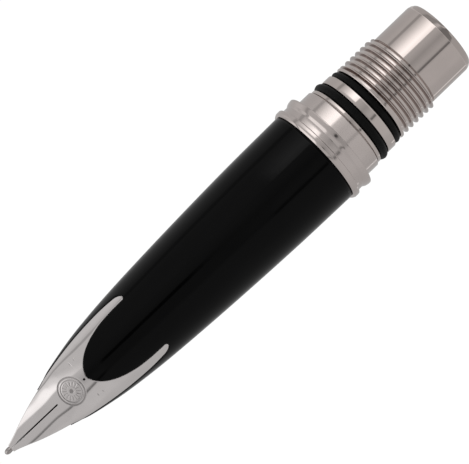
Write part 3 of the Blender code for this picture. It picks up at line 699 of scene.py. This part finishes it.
def tongue_edge(x):
    """Half-width of the grip's tongue between the wings."""
    share = share_of(x, NIB_REAR_X, TONGUE_APEX_X)
    long_power, wide_power = TONGUE_POWERS
    return TONGUE_HALF_WIDTH * (1 - share**long_power) ** (1 / wide_power)


def slit_half(x):
    widening = (SLIT_WIDTH - SLIT_TIP_WIDTH) * share_of(x, *SLIT_TAPER_X)
    return (SLIT_TIP_WIDTH + widening) / 2


def nib_inner(x):
    """Half-width where the nib begins: the slit's wall or the tongue's edge."""
    if x < SLIT_END_X:
        return slit_half(x)
    if x < WING_INNER_ROUND_X:
        return tongue_edge(x)
    share = share_of(x, WING_INNER_ROUND_X, NIB_REAR_X)
    start = tongue_edge(WING_INNER_ROUND_X)
    return WING_END_Y - (WING_END_Y - start) * math.sqrt(1 - share**2)


def seat_angles(x):
    """Where the nib's seat begins and ends at x, as angles on the surface."""
    if x >= NIB_REAR_X + SEAM:
        angle = surface_angle(x, WING_END_Y)
        return angle, angle
    inside = min(x, NIB_REAR_X - 0.004)
    inner = surface_angle(x, nib_inner(inside))
    outer = surface_angle(x, nib_outer(inside))
    if x <= TONGUE_APEX_X - SEAM:
        inner = 0.0
    elif x < TONGUE_APEX_X + 0.03:
        inner = surface_angle(x, 0.02 + 4 * (x - TONGUE_APEX_X + SEAM))
    else:
        inner = max(inner - surface_share(x, inner, SEAM), 0.0)
    return inner, outer + surface_share(x, outer, SEAM)


def grip_ring(x):
    """The grip's outer ring at x: tongue, seat wall, seat floor, wall, outside."""
    inner, outer = seat_angles(x)
    recess = NIB_THICKNESS + SEAM if inner != outer else 0.0
    soft = min(LIP, recess)
    if inner == 0.0:
        half = [(0.0, recess)] * (TONGUE_COLUMNS + 4)
    else:
        lip = surface_share(x, inner, soft)
        flat = max(inner - lip, 0.0)
        half = [(min(angle, flat), 0.0) for angle in spaced(0.0, inner, TONGUE_COLUMNS)[:-1]]
        half += [(flat, 0.0), (max(inner - 0.3 * lip, 0.0), 0.3 * soft)]
        half += [(inner, soft), (inner, recess)]
    half += [(angle, recess) for angle in spaced(inner, outer, SEAT_COLUMNS)[1:]]
    lip = surface_share(x, outer, soft) if recess else 0.0
    half += [(outer, soft), (outer + 0.3 * lip, 0.3 * soft), (outer + lip, 0.0)]
    half += [(angle, 0.0) for angle in spaced(outer + lip, math.pi, SIDE_COLUMNS)[1:]]
    share = share_of(x, CHIN_START_X, GRIP_FRONT_X)
    size = 1 - CHIN_SHRINK * (1 - math.sqrt(1 - share**2))
    middle = smooth_row(GRIP_ROWS, x)[2]
    right = []
    for angle, depth in half:
        place = surface_place(x, angle, depth)
        if depth == 0.0 or size == 1.0:
            place.y *= size
            place.z = middle + (place.z - middle) * size
        place.x = x
        right.append(place)
    return right + [Vector((p.x, -p.y, p.z)) for p in right[-2:0:-1]]


def grip_stations():
    """Places along the grip from its rear to its front, closer at its details."""
    stations = [GRIP_REAR_X - d for d in (0.0, 0.02, 0.06)]
    stations += spaced(GRIP_REAR_X - 0.4, NIB_REAR_X + 0.6, 44)
    stations += [NIB_REAR_X + d for d in (0.3, 0.15, 0.08, SEAM + 0.001)]
    stations += [NIB_REAR_X - d for d in reversed(WING_TURN)]
    back = [TONGUE_APEX_X + d for d in reversed(APEX_TURN)]
    stations += spaced(NIB_REAR_X - 1.2, back[0] + 0.3, 18) + back
    stations += [TONGUE_APEX_X - d for d in (0.001, 0.008, 0.018, SEAM, 0.08, 0.2)]
    stations += spaced(TONGUE_APEX_X - 0.4, CHIN_START_X, 16)
    length = CHIN_START_X - GRIP_FRONT_X
    return stations + [CHIN_START_X - length * math.sin(math.radians(a)) for a in CHIN_TURN]


# Rows of the feed's nose, like the grip's
FEED_NOSE_ROWS = (
    (-34.0, 3.00, 3.00, 0.0, -3.00),
    (-36.0, 2.72, 2.75, -0.15, -2.86),
    (-38.0, 2.34, 2.15, -0.30, -2.60),
    (-40.0, 1.88, 1.45, -0.45, -2.20),
    (-42.0, 1.34, 0.78, -0.55, -1.72),
    (-44.0, 0.74, 0.10, -0.58, -1.16),
    (-45.3, 0.28, -0.50, -0.66, -0.86),
)
FEED_CLEARANCE = 0.06


def grip_shell():
    rings = [grip_ring(x) for x in grip_stations()]
    count = len(rings[0])
    for places, inset in zip(rings, (0.05, 0.02)):
        for place in places:
            size = 1 - inset / math.hypot(place.y, place.z)
            place.y *= size
            place.z *= size
    inside = []
    for x in spaced(GRIP_FRONT_X, FEED_BORE[0], 12):
        width, top, middle, bottom = smooth_row(FEED_NOSE_ROWS, x)
        gap = FEED_CLEARANCE
        inside.append(section_ring(x, (width + gap, top + gap, middle, bottom - gap), count))
    steps = [
        (FEED_BORE[0], FEED_BORE[1] - 0.3), (FEED_BORE[0] + 0.5, FEED_BORE[1]),
        (CARRIER_SEAT[0], FEED_BORE[1]), CARRIER_SEAT, (BUSH_SEAT[0], CARRIER_SEAT[1]),
        BUSH_SEAT, (GRIP_REAR_X, BUSH_SEAT[1]),
    ]
    inside += [section_ring(x, (r, r, 0.0, -r), count) for x, r in steps]
    mesh = lofted(rings + inside, closed=True)
    piece("grip_body", mesh, "black_lacquer", "grip", "grip_shell", sharp=40)


THREAD_PLAY = 0.06  # between the grip's thread and the connector's


def thread_bush():
    front, rear, outer = reach("thread_bush")
    low, high = (r + THREAD_PLAY for r in GRIP_THREAD[1])
    mouth = high + 0.05
    ends = (rear - 0.1, front + 0.1)
    thread = Thread(ends, (high, low), THREAD_PITCH / 2, GRIP_THREAD[3])
    rear_edge = fillet((front, outer), (rear, outer), (rear, mouth), 0.06)
    mesh = turned([(front, mouth), (front, outer - 0.06), *rear_edge, (rear, mouth), thread])
    piece("brass_bush", mesh, "bush_brass", "grip", "thread_bush")


# ---- nib

# Engraving: two oval rings, rays between them and a centre, then small dots
OVAL_CENTRE_X = -39.02
OVAL_HALF = (1.27, 1.57)
RINGS = ((1.0, 0.085), (0.80, 0.05))  # share of the oval, half of the line's width
RAY_COUNT = 16
RAY_REACH = (0.34, 0.70)
RAY_HALF = 0.045
CENTRE_SHARE = 0.17
ENGRAVING_DEPTH = 0.03
ENGRAVING_SLOPE = 0.035  # from an engraved edge to the full depth
DOTS = [(-36.95 + 0.30 * n, 2.25) for n in (-1, 0, 1)]
DOT_R = 0.085
DIMPLE = (-37.28, 0.12)  # place on the middle line and radius
DIMPLE_DEPTH = 0.12
ENGRAVING_MARGIN = 0.1  # nothing is engraved this close to an edge
RIM_STEPS, END_STEPS = 1400, 60  # places along an edge and across an end
# Rounding of the nib's edge, of its front end and of the slit's edges
NIB_EDGE, FRONT_EDGE, SLIT_EDGE = 0.09, 0.01, 0.015


def engraved(x, y):
    """How deep the engraving is at a place on the nib, from 0 to 1."""
    dx, dy = (x - OVAL_CENTRE_X) / OVAL_HALF[0], abs(y) / OVAL_HALF[1]
    share = math.hypot(dx, dy)
    scale = min(OVAL_HALF)
    edges = [half - abs(share - at) * scale for at, half in RINGS]
    if RAY_REACH[0] < share < RAY_REACH[1]:
        turn = (math.atan2(dy, dx) / math.tau * RAY_COUNT) % 1.0
        across = abs(turn - 0.5) / RAY_COUNT * math.tau * share * scale
        ends = min(share - RAY_REACH[0], RAY_REACH[1] - share) * scale
        edges.append(min(RAY_HALF - across, ends))
    edges.append((CENTRE_SHARE - share) * scale)
    edges += [DOT_R - math.hypot(x - at, abs(y) - level) for at, level in DOTS]
    edges.append(DIMPLE[1] - math.hypot(x - DIMPLE[0], y))
    return share_of(max(edges), 0.0, ENGRAVING_SLOPE)


def nib_stations():
    """Places along the nib, closer together at its engraving and its turns."""
    fine = spaced(-40.75, -36.62, 138)
    stations = spaced(NIB_FRONT_X, SLIT_END_X - 0.05, 56)
    stations += [SLIT_END_X + d for d in (-0.02, -0.0005, 0.0005, 0.03, 0.12)]
    stations += [x for x in fine if abs(x - TONGUE_APEX_X) > 0.02]
    stations += [TONGUE_APEX_X - d for d in (0.05, 0.02, 0.0)]
    stations += [TONGUE_APEX_X + d for d in APEX_TURN]
    stations += spaced(TONGUE_APEX_X + 3.5, NIB_REAR_X - 1.2, 18)
    stations += [NIB_REAR_X - d for d in WING_TURN]
    stations = sorted(set(round(x, 5) for x in stations))
    return [x for n, x in enumerate(stations) if n == 0 or x - stations[n - 1] > 0.0009]


COLUMNS = 56  # across one side of the nib, between its rounded edges
FINE_COLUMNS = 46  # as many of them as cover the ornament
ORNAMENT_Y = 1.75
FINE_FADE_X = (-37.15, -35.2)  # where the columns go back to even distances
RIM_COLUMNS = (0.0, 0.08, 0.3, 0.62, 1.0)  # shares of a rounded edge's width


def nib_angles(x, inner, outer):
    """Angles across one side of the nib, closer together at both edges."""
    lip = min(surface_share(x, outer, NIB_EDGE), 0.25 * (outer - inner))
    start = [inner + lip * share for share in RIM_COLUMNS]
    end = [outer - lip * share for share in reversed(RIM_COLUMNS)]
    span = end[0] - start[-1]
    fine = (surface_angle(x, ORNAMENT_Y) - start[-1]) / span
    fine = min(max(fine, 0.25), FINE_COLUMNS / COLUMNS)
    fine += (FINE_COLUMNS / COLUMNS - fine) * share_of(x, *FINE_FADE_X)
    border = start[-1] + fine * span
    middle = spaced(start[-1], border, FINE_COLUMNS)
    middle += spaced(border, end[0], COLUMNS - FINE_COLUMNS)[1:]
    return start[:-1] + middle + end[1:]


def nib_rim():
    """A tree of places on one side's edges and the rounding at each of them."""
    edges = []
    for x in spaced(NIB_FRONT_X, NIB_REAR_X, RIM_STEPS):
        edges.append((x, nib_outer(x), NIB_EDGE))
        if x < SLIT_END_X:
            edges.append((x, slit_half(x), SLIT_EDGE))
        elif x > TONGUE_APEX_X:
            edges.append((x, nib_inner(x), NIB_EDGE))
    apex_y, front_y = nib_inner(TONGUE_APEX_X + 0.02), nib_outer(NIB_FRONT_X)
    for n in range(END_STEPS):
        edges.append((TONGUE_APEX_X, apex_y * n / END_STEPS, NIB_EDGE))
        edges.append((NIB_FRONT_X, front_y * n / END_STEPS, FRONT_EDGE))
    tree = KDTree(len(edges))
    for n, (x, y, _) in enumerate(edges):
        tree.insert(surface_place(x, surface_angle(x, y)), n)
    tree.balance()
    return tree, [radius for _, _, radius in edges]


def nib_sheet():
    """The nib with rounded edges, its slit and its engraving."""
    tree, radii = nib_rim()
    mesh = bmesh.new()
    cut_layer = mesh.verts.layers.float.new("engraved")
    # a layer that marks the slit's walls and the dimple for painted shade
    shade_layer = mesh.verts.layers.float.new("painted_shade")

    def new_pair(x, angle, side, in_slit):
        """The sheet's upper and lower vertex at a place."""
        place = surface_place(x, angle)
        _, index, distance = tree.find(place)
        radius = radii[index]
        edge = max(radius - distance, 0.0)
        drop = radius - math.sqrt(max(radius**2 - edge**2, 0.0))
        cut = engraved(x, place.y) if distance > ENGRAVING_MARGIN else 0.0
        sunk = DIMPLE_DEPTH if math.hypot(x - DIMPLE[0], place.y) < DIMPLE[1] else 0.0
        top = surface_place(x, angle, drop + ENGRAVING_DEPTH * cut + sunk + 1e-6)
        foot = surface_angle(x, SLIT_FOOT) if in_slit else angle
        low = surface_place(x, foot, NIB_THICKNESS - 0.5 * drop)
        pair = []
        for point, depth in ((top, cut), (low, 0.0)):
            vertex = mesh.verts.new((MM * point.x, MM * side * point.y, MM * point.z))
            vertex[cut_layer] = depth
            # painted shade in the slit and the dimple
            vertex[shade_layer] = 1.0 if in_slit or sunk else 0.0
            pair.append(vertex)
        return pair

    middle_pairs = {}
    for side in (1, -1):
        grid = []
        for x in nib_stations():
            outer = surface_angle(x, nib_outer(x))
            inner = surface_angle(x, nib_inner(x))
            if SLIT_END_X <= x <= TONGUE_APEX_X:
                inner = 0.0
            if outer - inner < 0.004:
                inner, outer = inner - 0.002, outer + 0.002
            column = []
            for m, angle in enumerate(nib_angles(x, inner, outer)):
                if m == 0 and inner == 0.0:
                    if x not in middle_pairs:
                        middle_pairs[x] = new_pair(x, angle, side, False)
                    column.append(middle_pairs[x])
                else:
                    column.append(new_pair(x, angle, side, m == 0 and x < SLIT_END_X))
            grid.append(column)
        join_sheet(mesh, grid, middle_pairs.values())
    piece("nib_sheet", mesh, "nib_rhodium", "grip", "nib", sharp=40)


def join_sheet(mesh, grid, middle_pairs):
    """Faces over, under and round the free edges of a grid of vertex pairs."""
    middles = {id(pair) for pair in middle_pairs}
    for row, following in zip(grid, grid[1:]):
        for square in zip(row, following, following[1:], row[1:]):
            for level in (0, 1):
                mesh.faces.new([pair[level] for pair in square])
    sides = [[row[m] for row in grid] for m in (0, -1)]
    for border in (grid[0], grid[-1], *sides):
        for near, far in zip(border, border[1:]):
            if id(near) not in middles or id(far) not in middles:
                mesh.faces.new((near[0], far[0], far[1], near[1]))


TIP_CENTRE_X = -47.78
TIP_HALF_LENGTH = 0.52
TIP_REAR_STRETCH = 1.6  # its rear half runs on into the tine


def nib_tip(node, side):
    """Half of the hard writing point, a pellet on one tine's end."""
    low, high = (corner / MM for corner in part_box(node))
    centre = Vector((TIP_CENTRE_X, 0.0, (low.z + high.z) / 2))
    half = Vector((TIP_HALF_LENGTH, max(abs(low.y), high.y), (high.z - low.z) / 2))
    mesh = bmesh.new()
    bmesh.ops.create_uvsphere(mesh, u_segments=48, v_segments=32, radius=1.0)
    for vertex in mesh.verts:
        if vertex.co.x > 0:
            vertex.co.x *= TIP_REAR_STRETCH
        vertex.co = [MM * (centre[n] + half[n] * vertex.co[n]) for n in range(3)]
    rim = sliced(mesh, (0, side * SLIT_TIP_WIDTH / 2, 0), (0, side, 0), clear_inner=True)
    bmesh.ops.holes_fill(mesh, edges=rim, sides=0)
    name = node.replace("nib_tip", "writing_point")
    piece(name, mesh, "tip_iridium", "grip", node)


# ---- feed

FIN_COUNT = 10
FIN_R = 3.45
FIN_CORE_R = 2.2
FIN_THICKNESS = 0.55
FIN_FRONT_X = -33.0
FIN_REAR_X = -18.2
FIN_ROUND = 0.08
CORE_FRONT_X = -33.6
FLANGE_FRONT_X = -17.6
SLOT_HALF = 0.36
SLOT_FLOOR_Z = -0.42
SLOT_SLOPE = (-42, 0.07)  # before this place the floor falls by this much per mm


def feed_ring(x, row, slot=True):
    """The feed's ring at x, open at its top where the ink slot runs in."""
    start = math.asin(min(SLOT_HALF / row[0], 1.0)) if slot else 0.0
    half = [section_place(row, angle) for angle in spaced(start, math.pi, 32)]
    edge_z = half[0][1]
    slope_x, slope = SLOT_SLOPE
    floor = min(SLOT_FLOOR_Z + slope * min(x - slope_x, 0), edge_z) if slot else edge_z
    wall = [(SLOT_HALF if slot else 0.0, z) for z in spaced(floor, edge_z, 3)[:-1]]
    right = [(x, y, z) for y, z in [(0.0, floor), *wall, *half]]
    return right + [(x, -y, z) for x, y, z in right[-2:0:-1]]


def collector():
    front, rear, _ = reach("collector")
    rings = []
    for x in spaced(front, FEED_NOSE_ROWS[0][0], 40):
        rings.append(feed_ring(x, smooth_row(FEED_NOSE_ROWS, x), slot=x > front + 0.8))
    places = [(CORE_FRONT_X, FIN_CORE_R)]
    pitch = (FIN_REAR_X - FIN_FRONT_X) / FIN_COUNT
    for n in range(FIN_COUNT):
        near = FIN_FRONT_X + n * pitch
        far = near + FIN_THICKNESS
        places += rounded([
            (near, FIN_CORE_R), (near, FIN_R, FIN_ROUND), (far, FIN_R, FIN_ROUND),
            (far, FIN_CORE_R),
        ], closed=False)
    places += rounded([
        (FLANGE_FRONT_X, FIN_CORE_R), (FLANGE_FRONT_X, FIN_R, FIN_ROUND), (rear, FIN_R),
    ], closed=False)
    rings += [feed_ring(x, (r, r, 0.0, -r)) for x, r in places]
    piece("ink_feed", lofted(rings), "feed_black", "grip", "collector")


def feed_bar():
    """The ink bar: a blade in the feed's slot, with a tail into the tube."""
    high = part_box("feed_bar")[1]
    rear, half, floor = high.x / MM, high.y / MM, SLOT_FLOOR_Z + GAP
    tail_x, tail_z = -16.4, 0.38
    outline = rounded([
        (-43.9, -0.50, 0.05), (-42.0, floor, 0.2), (rear, floor, 0.1), (rear, tail_z, 0.1),
        (tail_x, tail_z, 0.2), (tail_x, 2.0, 0.2), (-33.2, 2.0, 0.3), (-36.0, 2.4, 1.0),
        (-38.0, 1.85), (-40.0, 1.18), (-42.0, 0.55), (-43.8, -0.06, 0.1),
    ])
    mesh = bmesh.new()
    face = mesh.faces.new([mesh.verts.new((MM * x, -MM * half, MM * z)) for x, z in outline])
    result = bmesh.ops.extrude_face_region(mesh, geom=[face])
    moved = [v for v in result["geom"] if isinstance(v, bmesh.types.BMVert)]
    bmesh.ops.translate(mesh, verts=moved, vec=(0, 2 * MM * half, 0))
    made = piece("ink_bar", mesh, "bar_black", "grip", "feed_bar")
    bevel = made.modifiers.new("edges", "BEVEL")
    bevel.width, bevel.segments = 0.04 * MM, 2


def nipple_carrier():
    front, rear, flange_r = reach("nipple_carrier")
    flange_front, flange_rear = -11.89, -10.25
    pilot, bore, seat, socket = 3.5, 1.23, -14.68, 1.93
    profile = rounded([
        (front, pilot, 0.12), (flange_front, pilot, 0.05), (flange_front, flange_r, 0.06),
        (flange_rear, flange_r, 0.06), (flange_rear, 2.2, 0.15), (rear, 1.9, 0.12),
        (rear, bore, 0.05), (seat, bore, 0.02), (seat, socket, 0.02), (front, socket, 0.03),
    ])
    mesh = turned(profile, SMALL_ROUND)
    piece("tube_carrier", mesh, "carrier_black", "grip", "nipple_carrier")


def ink_nipple():
    """The piercing tube, with its rear end cut at a slant."""
    front, _, flange_r = reach("ink_nipple")
    outer, bore, flange_rear, back = 1.2, 0.72, front + 0.58, -5.4
    corners = rounded([
        (front, flange_r, EDGE), (flange_rear, flange_r, EDGE), (flange_rear, outer, 0.02),
        (back, outer), (back, bore), (front, bore, 0.03),
    ])
    mesh = turned(corners, SMALL_ROUND)
    rim = sliced(mesh, (back - 0.75, 0, 0), (0.87, 0, 0.5), clear_outer=True)
    bmesh.ops.bridge_loops(mesh, edges=rim)
    piece("piercing_tube", mesh, "nipple_plastic", "grip", "ink_nipple")


def carrier_seal():
    front, rear, outer = reach("carrier_seal")
    bore = 2.9
    profile = rounded([
        (front, outer, 0.12), (rear, outer, 0.12), (rear, bore, 0.08), (front, bore, 0.08)
    ])
    piece("washer", turned(profile, SMALL_ROUND), "seal_rubber", "grip", "carrier_seal")


# ---- studio

VIEW_LEAN = math.radians(8.9)  # how far the view leans towards the nib
VIEW_SIDE_LEAN = math.radians(1.2)  # and towards +Y
VIEW_ROLL = math.radians(43.9)
VIEW_TARGET = Vector((-0.01433, 0.000133, 0))
VIEW_DISTANCE = 0.565
FOCAL_LENGTH = 406.8
WHITE = (1.0, 1.0, 1.0, 1.0)


def facing(distance):
    """The matrix of an object that faces the view's target from this distance."""
    turn = Matrix.Rotation(-VIEW_SIDE_LEAN, 3, "X")
    back = turn @ Vector((-math.sin(VIEW_LEAN), 0, math.cos(VIEW_LEAN)))
    along = turn @ Vector((math.cos(VIEW_LEAN), 0, math.sin(VIEW_LEAN)))
    across = turn @ Vector((0, 1, 0))
    right = math.cos(VIEW_ROLL) * along - math.sin(VIEW_ROLL) * across
    up = math.sin(VIEW_ROLL) * along + math.cos(VIEW_ROLL) * across
    axes = Matrix((right, up, back)).transposed().to_4x4()
    return Matrix.Translation(VIEW_TARGET + back * distance) @ axes


def camera():
    data = bpy.data.cameras.new("camera")
    data.lens = FOCAL_LENGTH
    data.sensor_width = 36
    data.clip_start, data.clip_end = 0.01, 20
    made = bpy.data.objects.new("camera", data)
    bpy.context.collection.objects.link(made)
    made.matrix_world = facing(VIEW_DISTANCE)
    bpy.context.scene.camera = made


class Glow(Look):
    """A white light material of this strength."""

    def __init__(self, name, strength=1.0):
        super().__init__(name)
        self.nodes.remove(self.shader)
        self.shader = self.node("ShaderNodeEmission")
        put(self.shader, Color=WHITE, Strength=strength)
        surface = self.nodes["Material Output"].inputs["Surface"]
        self.links.new(self.shader.outputs[0], surface)


def disc(radius, segments):
    mesh = bmesh.new()
    bmesh.ops.create_circle(mesh, cap_ends=True, segments=segments, radius=radius)
    return mesh


# Radiance of the tent, as stops of degrees from the top towards +Y
WALLS = (
    (-180, 0.52), (-132, 0.50), (-96, 0.54), (-82, 0.58), (-38, 0.58), (-33, 0.50),
    (-32, 0.20), (-28, 0.20), (-27, 0.30), (-24, 0.50), (-18, 0.525), (0, 0.407), (8, 0.475),
    (18, 0.55), (25, 0.56), (79, 0.58), (82, 0.39), (88, 0.39), (91, 0.56), (96, 0.58),
    (112, 0.54), (180, 0.52),
)


def altered(walls, *stops):
    """The walls with these stops in place of all that lie between them."""
    low, high = stops[0][0], stops[-1][0]
    before = [stop for stop in walls if stop[0] < low]
    return tuple(before + list(stops) + [stop for stop in walls if stop[0] > high])


BODY_WALLS = altered(WALLS, (-35, 0.58), (-27, 0.43), (-10, 0.42))
BODY_WALLS = altered(BODY_WALLS, (91, 0.56), (105, 0.65), (120, 0.64), (135, 0.56))
TONGUE_WALLS = altered(BODY_WALLS, (-4.6, 0.42), (-3, 0.05), (3, 0.05), (4.6, 0.42))
REAR_WALLS = altered(WALLS, (-135, 0.50), (-133, 0.95), (-130, 0.95), (-128, 0.50))
FRONT_WALLS = (
    (-180, 0.55), (-33, 0.55), (-32, 0.22), (-28, 0.22), (-27, 0.32), (-24, 0.56), (79, 0.56),
    (82, 0.39), (88, 0.39), (91, 0.56), (180, 0.56),
)
FRONT_END = ((-180, 0.85), (-90, 0.80), (0, 1.00), (40, 1.10), (90, 0.90), (180, 0.85))
REAR_STRIPE = (
    (-180, 0.60), (-35, 0.66), (0, 0.74), (22, 0.90), (28, 1.90), (60, 1.40), (82, 0.75),
    (180, 0.60),
)
REAR_END = (
    (-180, 0.50), (-36, 0.50), (-30, 0.24), (10, 0.22), (20, 0.40), (27, 0.68), (34, 0.62),
    (42, 0.36), (80, 0.33), (92, 0.50), (180, 0.50),
)
# What the softbox and the light before the nib add to the walls
SOFTBOX = (
    (24, 0.0), (25.5, 0.10), (27, 0.86), (38, 1.12), (48, 0.86), (60, 0.45), (70, 0.20),
    (80, 0.0),
)
NIB_LIGHT = (
    (22, 0.0), (25, 0.60), (28, 0.74), (79, 0.74), (82, 0.0), (88, 0.0), (91, 0.45),
    (110, 0.45), (125, 0.0),
)
# The tent along X: its walls, then places and the shares of the two lights there
STRETCHES = (
    (FRONT_END, (-12.0, 0.0, 0.0), (-2.20, 0.0, 0.0)),
    (FRONT_WALLS, (-1.80, 0.0, 1.0), (-1.15, 0.0, 1.0), (-0.96, 0.0, 0.80), (-0.79, 0.0, 0.80),
     (-0.70, 0.0, 0.90), (-0.655, 0.0, 0.85), (-0.62, 0.0, 0.65)),
    (WALLS, (-0.59, 0.0, 0.40), (-0.50, 0.0, 0.28), (-0.44, 0.0, 0.10), (-0.38, 0.0, 0.0)),
    (TONGUE_WALLS, (-0.33, 0.02, 0.0), (0.02, 0.05, 0.0)),
    (BODY_WALLS, (0.04, 0.05, 0.0), (0.085, 0.05, 0.0)),
    (WALLS, (0.10, 0.05, 0.0), (0.115, 0.06, 0.0), (0.13, 0.95, 0.0), (0.188, 1.0, 0.0)),
    (REAR_WALLS, (0.194, 1.0, 0.0), (0.25, 1.0, 0.0)),
    (WALLS, (0.256, 1.0, 0.0), (0.285, 1.0, 0.0)),
    (REAR_STRIPE, (0.31, 0.0, 0.0), (0.355, 0.0, 0.0)),
    (REAR_END, (0.38, 0.0, 0.0), (12.0, 0.0, 0.0)),
)
TENT_R = 0.95
TENT = 0.58  # radiance of the tent's plain walls
LENS_R = 0.042
LENS_RADIANCE = 0.06
LENS_DISTANCE = 0.59
FLOOR_Z = -0.05
FLOOR_FADE = (0.050, 0.11)  # where its light starts and ends to fade
FLOOR_RADIANCE = 1.03


def tent():
    """A round light tent along X, whose radiance changes round it and along it."""
    stations = [(walls, *place) for walls, *places in STRETCHES for place in places]
    mesh = bmesh.new()
    layer = mesh.verts.layers.float.new("radiance")
    rows = []
    for degrees in range(-180, 181):
        angle = math.radians(degrees) + VIEW_SIDE_LEAN
        added = stepped(SOFTBOX, degrees), stepped(NIB_LIGHT, degrees)
        row = []
        for walls, x, softbox, nib_light in stations:
            vertex = mesh.verts.new((x, TENT_R * math.sin(angle), TENT_R * math.cos(angle)))
            vertex[layer] = stepped(walls, degrees) + softbox * added[0] + nib_light * added[1]
            row.append(vertex)
        rows.append(row)
    for near, far in zip(rows, rows[1:]):
        for square in zip(near, near[1:], far[1:], far):
            mesh.faces.new(square)
    glow = Glow("tent")
    glow.drive("Strength", glow.attribute("radiance"))
    unseen(linked("tent", mesh, glow.material))


def unseen(made):
    """Stages an object that the camera doesn't see and that throws no shadow."""
    made.visible_camera = False
    made.visible_shadow = False


def lens():
    """The dark front of the lens, which shows as small spots in the metal."""
    made = linked("lens", disc(LENS_R, 48), Glow("lens", LENS_RADIANCE).material)
    unseen(made)
    made.matrix_world = facing(LENS_DISTANCE)


def floor():
    """A pale floor, white under the object and light grey farther out."""
    glow = Glow("floor")
    distance = glow.length(glow.place)
    ramp = glow.spread(
        distance, FLOOR_RADIANCE, TENT, *FLOOR_FADE, interpolation_type="SMOOTHSTEP"
    )
    glow.drive("Strength", ramp)
    made = linked("floor", disc(3.0, 64), glow.material)
    made.location = (VIEW_TARGET.x - FLOOR_Z * math.tan(VIEW_LEAN), 0, FLOOR_Z)
    made.visible_glossy = False


def studio():
    scene = bpy.context.scene
    scene.view_settings.view_transform = "Standard"
    world = bpy.data.worlds.new("tent")
    world.use_nodes = True
    put(world.node_tree.nodes["Background"], Color=WHITE, Strength=TENT)
    scene.world = world
    tent()
    lens()
    floor()


threaded_connector()
o_ring("front_o_ring")
o_ring("rear_o_ring")
cartridge_sleeve()
clutch_collar()
grip_shell()
thread_bush()
nib_sheet()
nib_tip("nib_tip_left", 1)
nib_tip("nib_tip_right", -1)
collector()
feed_bar()
nipple_carrier()
ink_nipple()
carrier_seal()
camera()
studio()
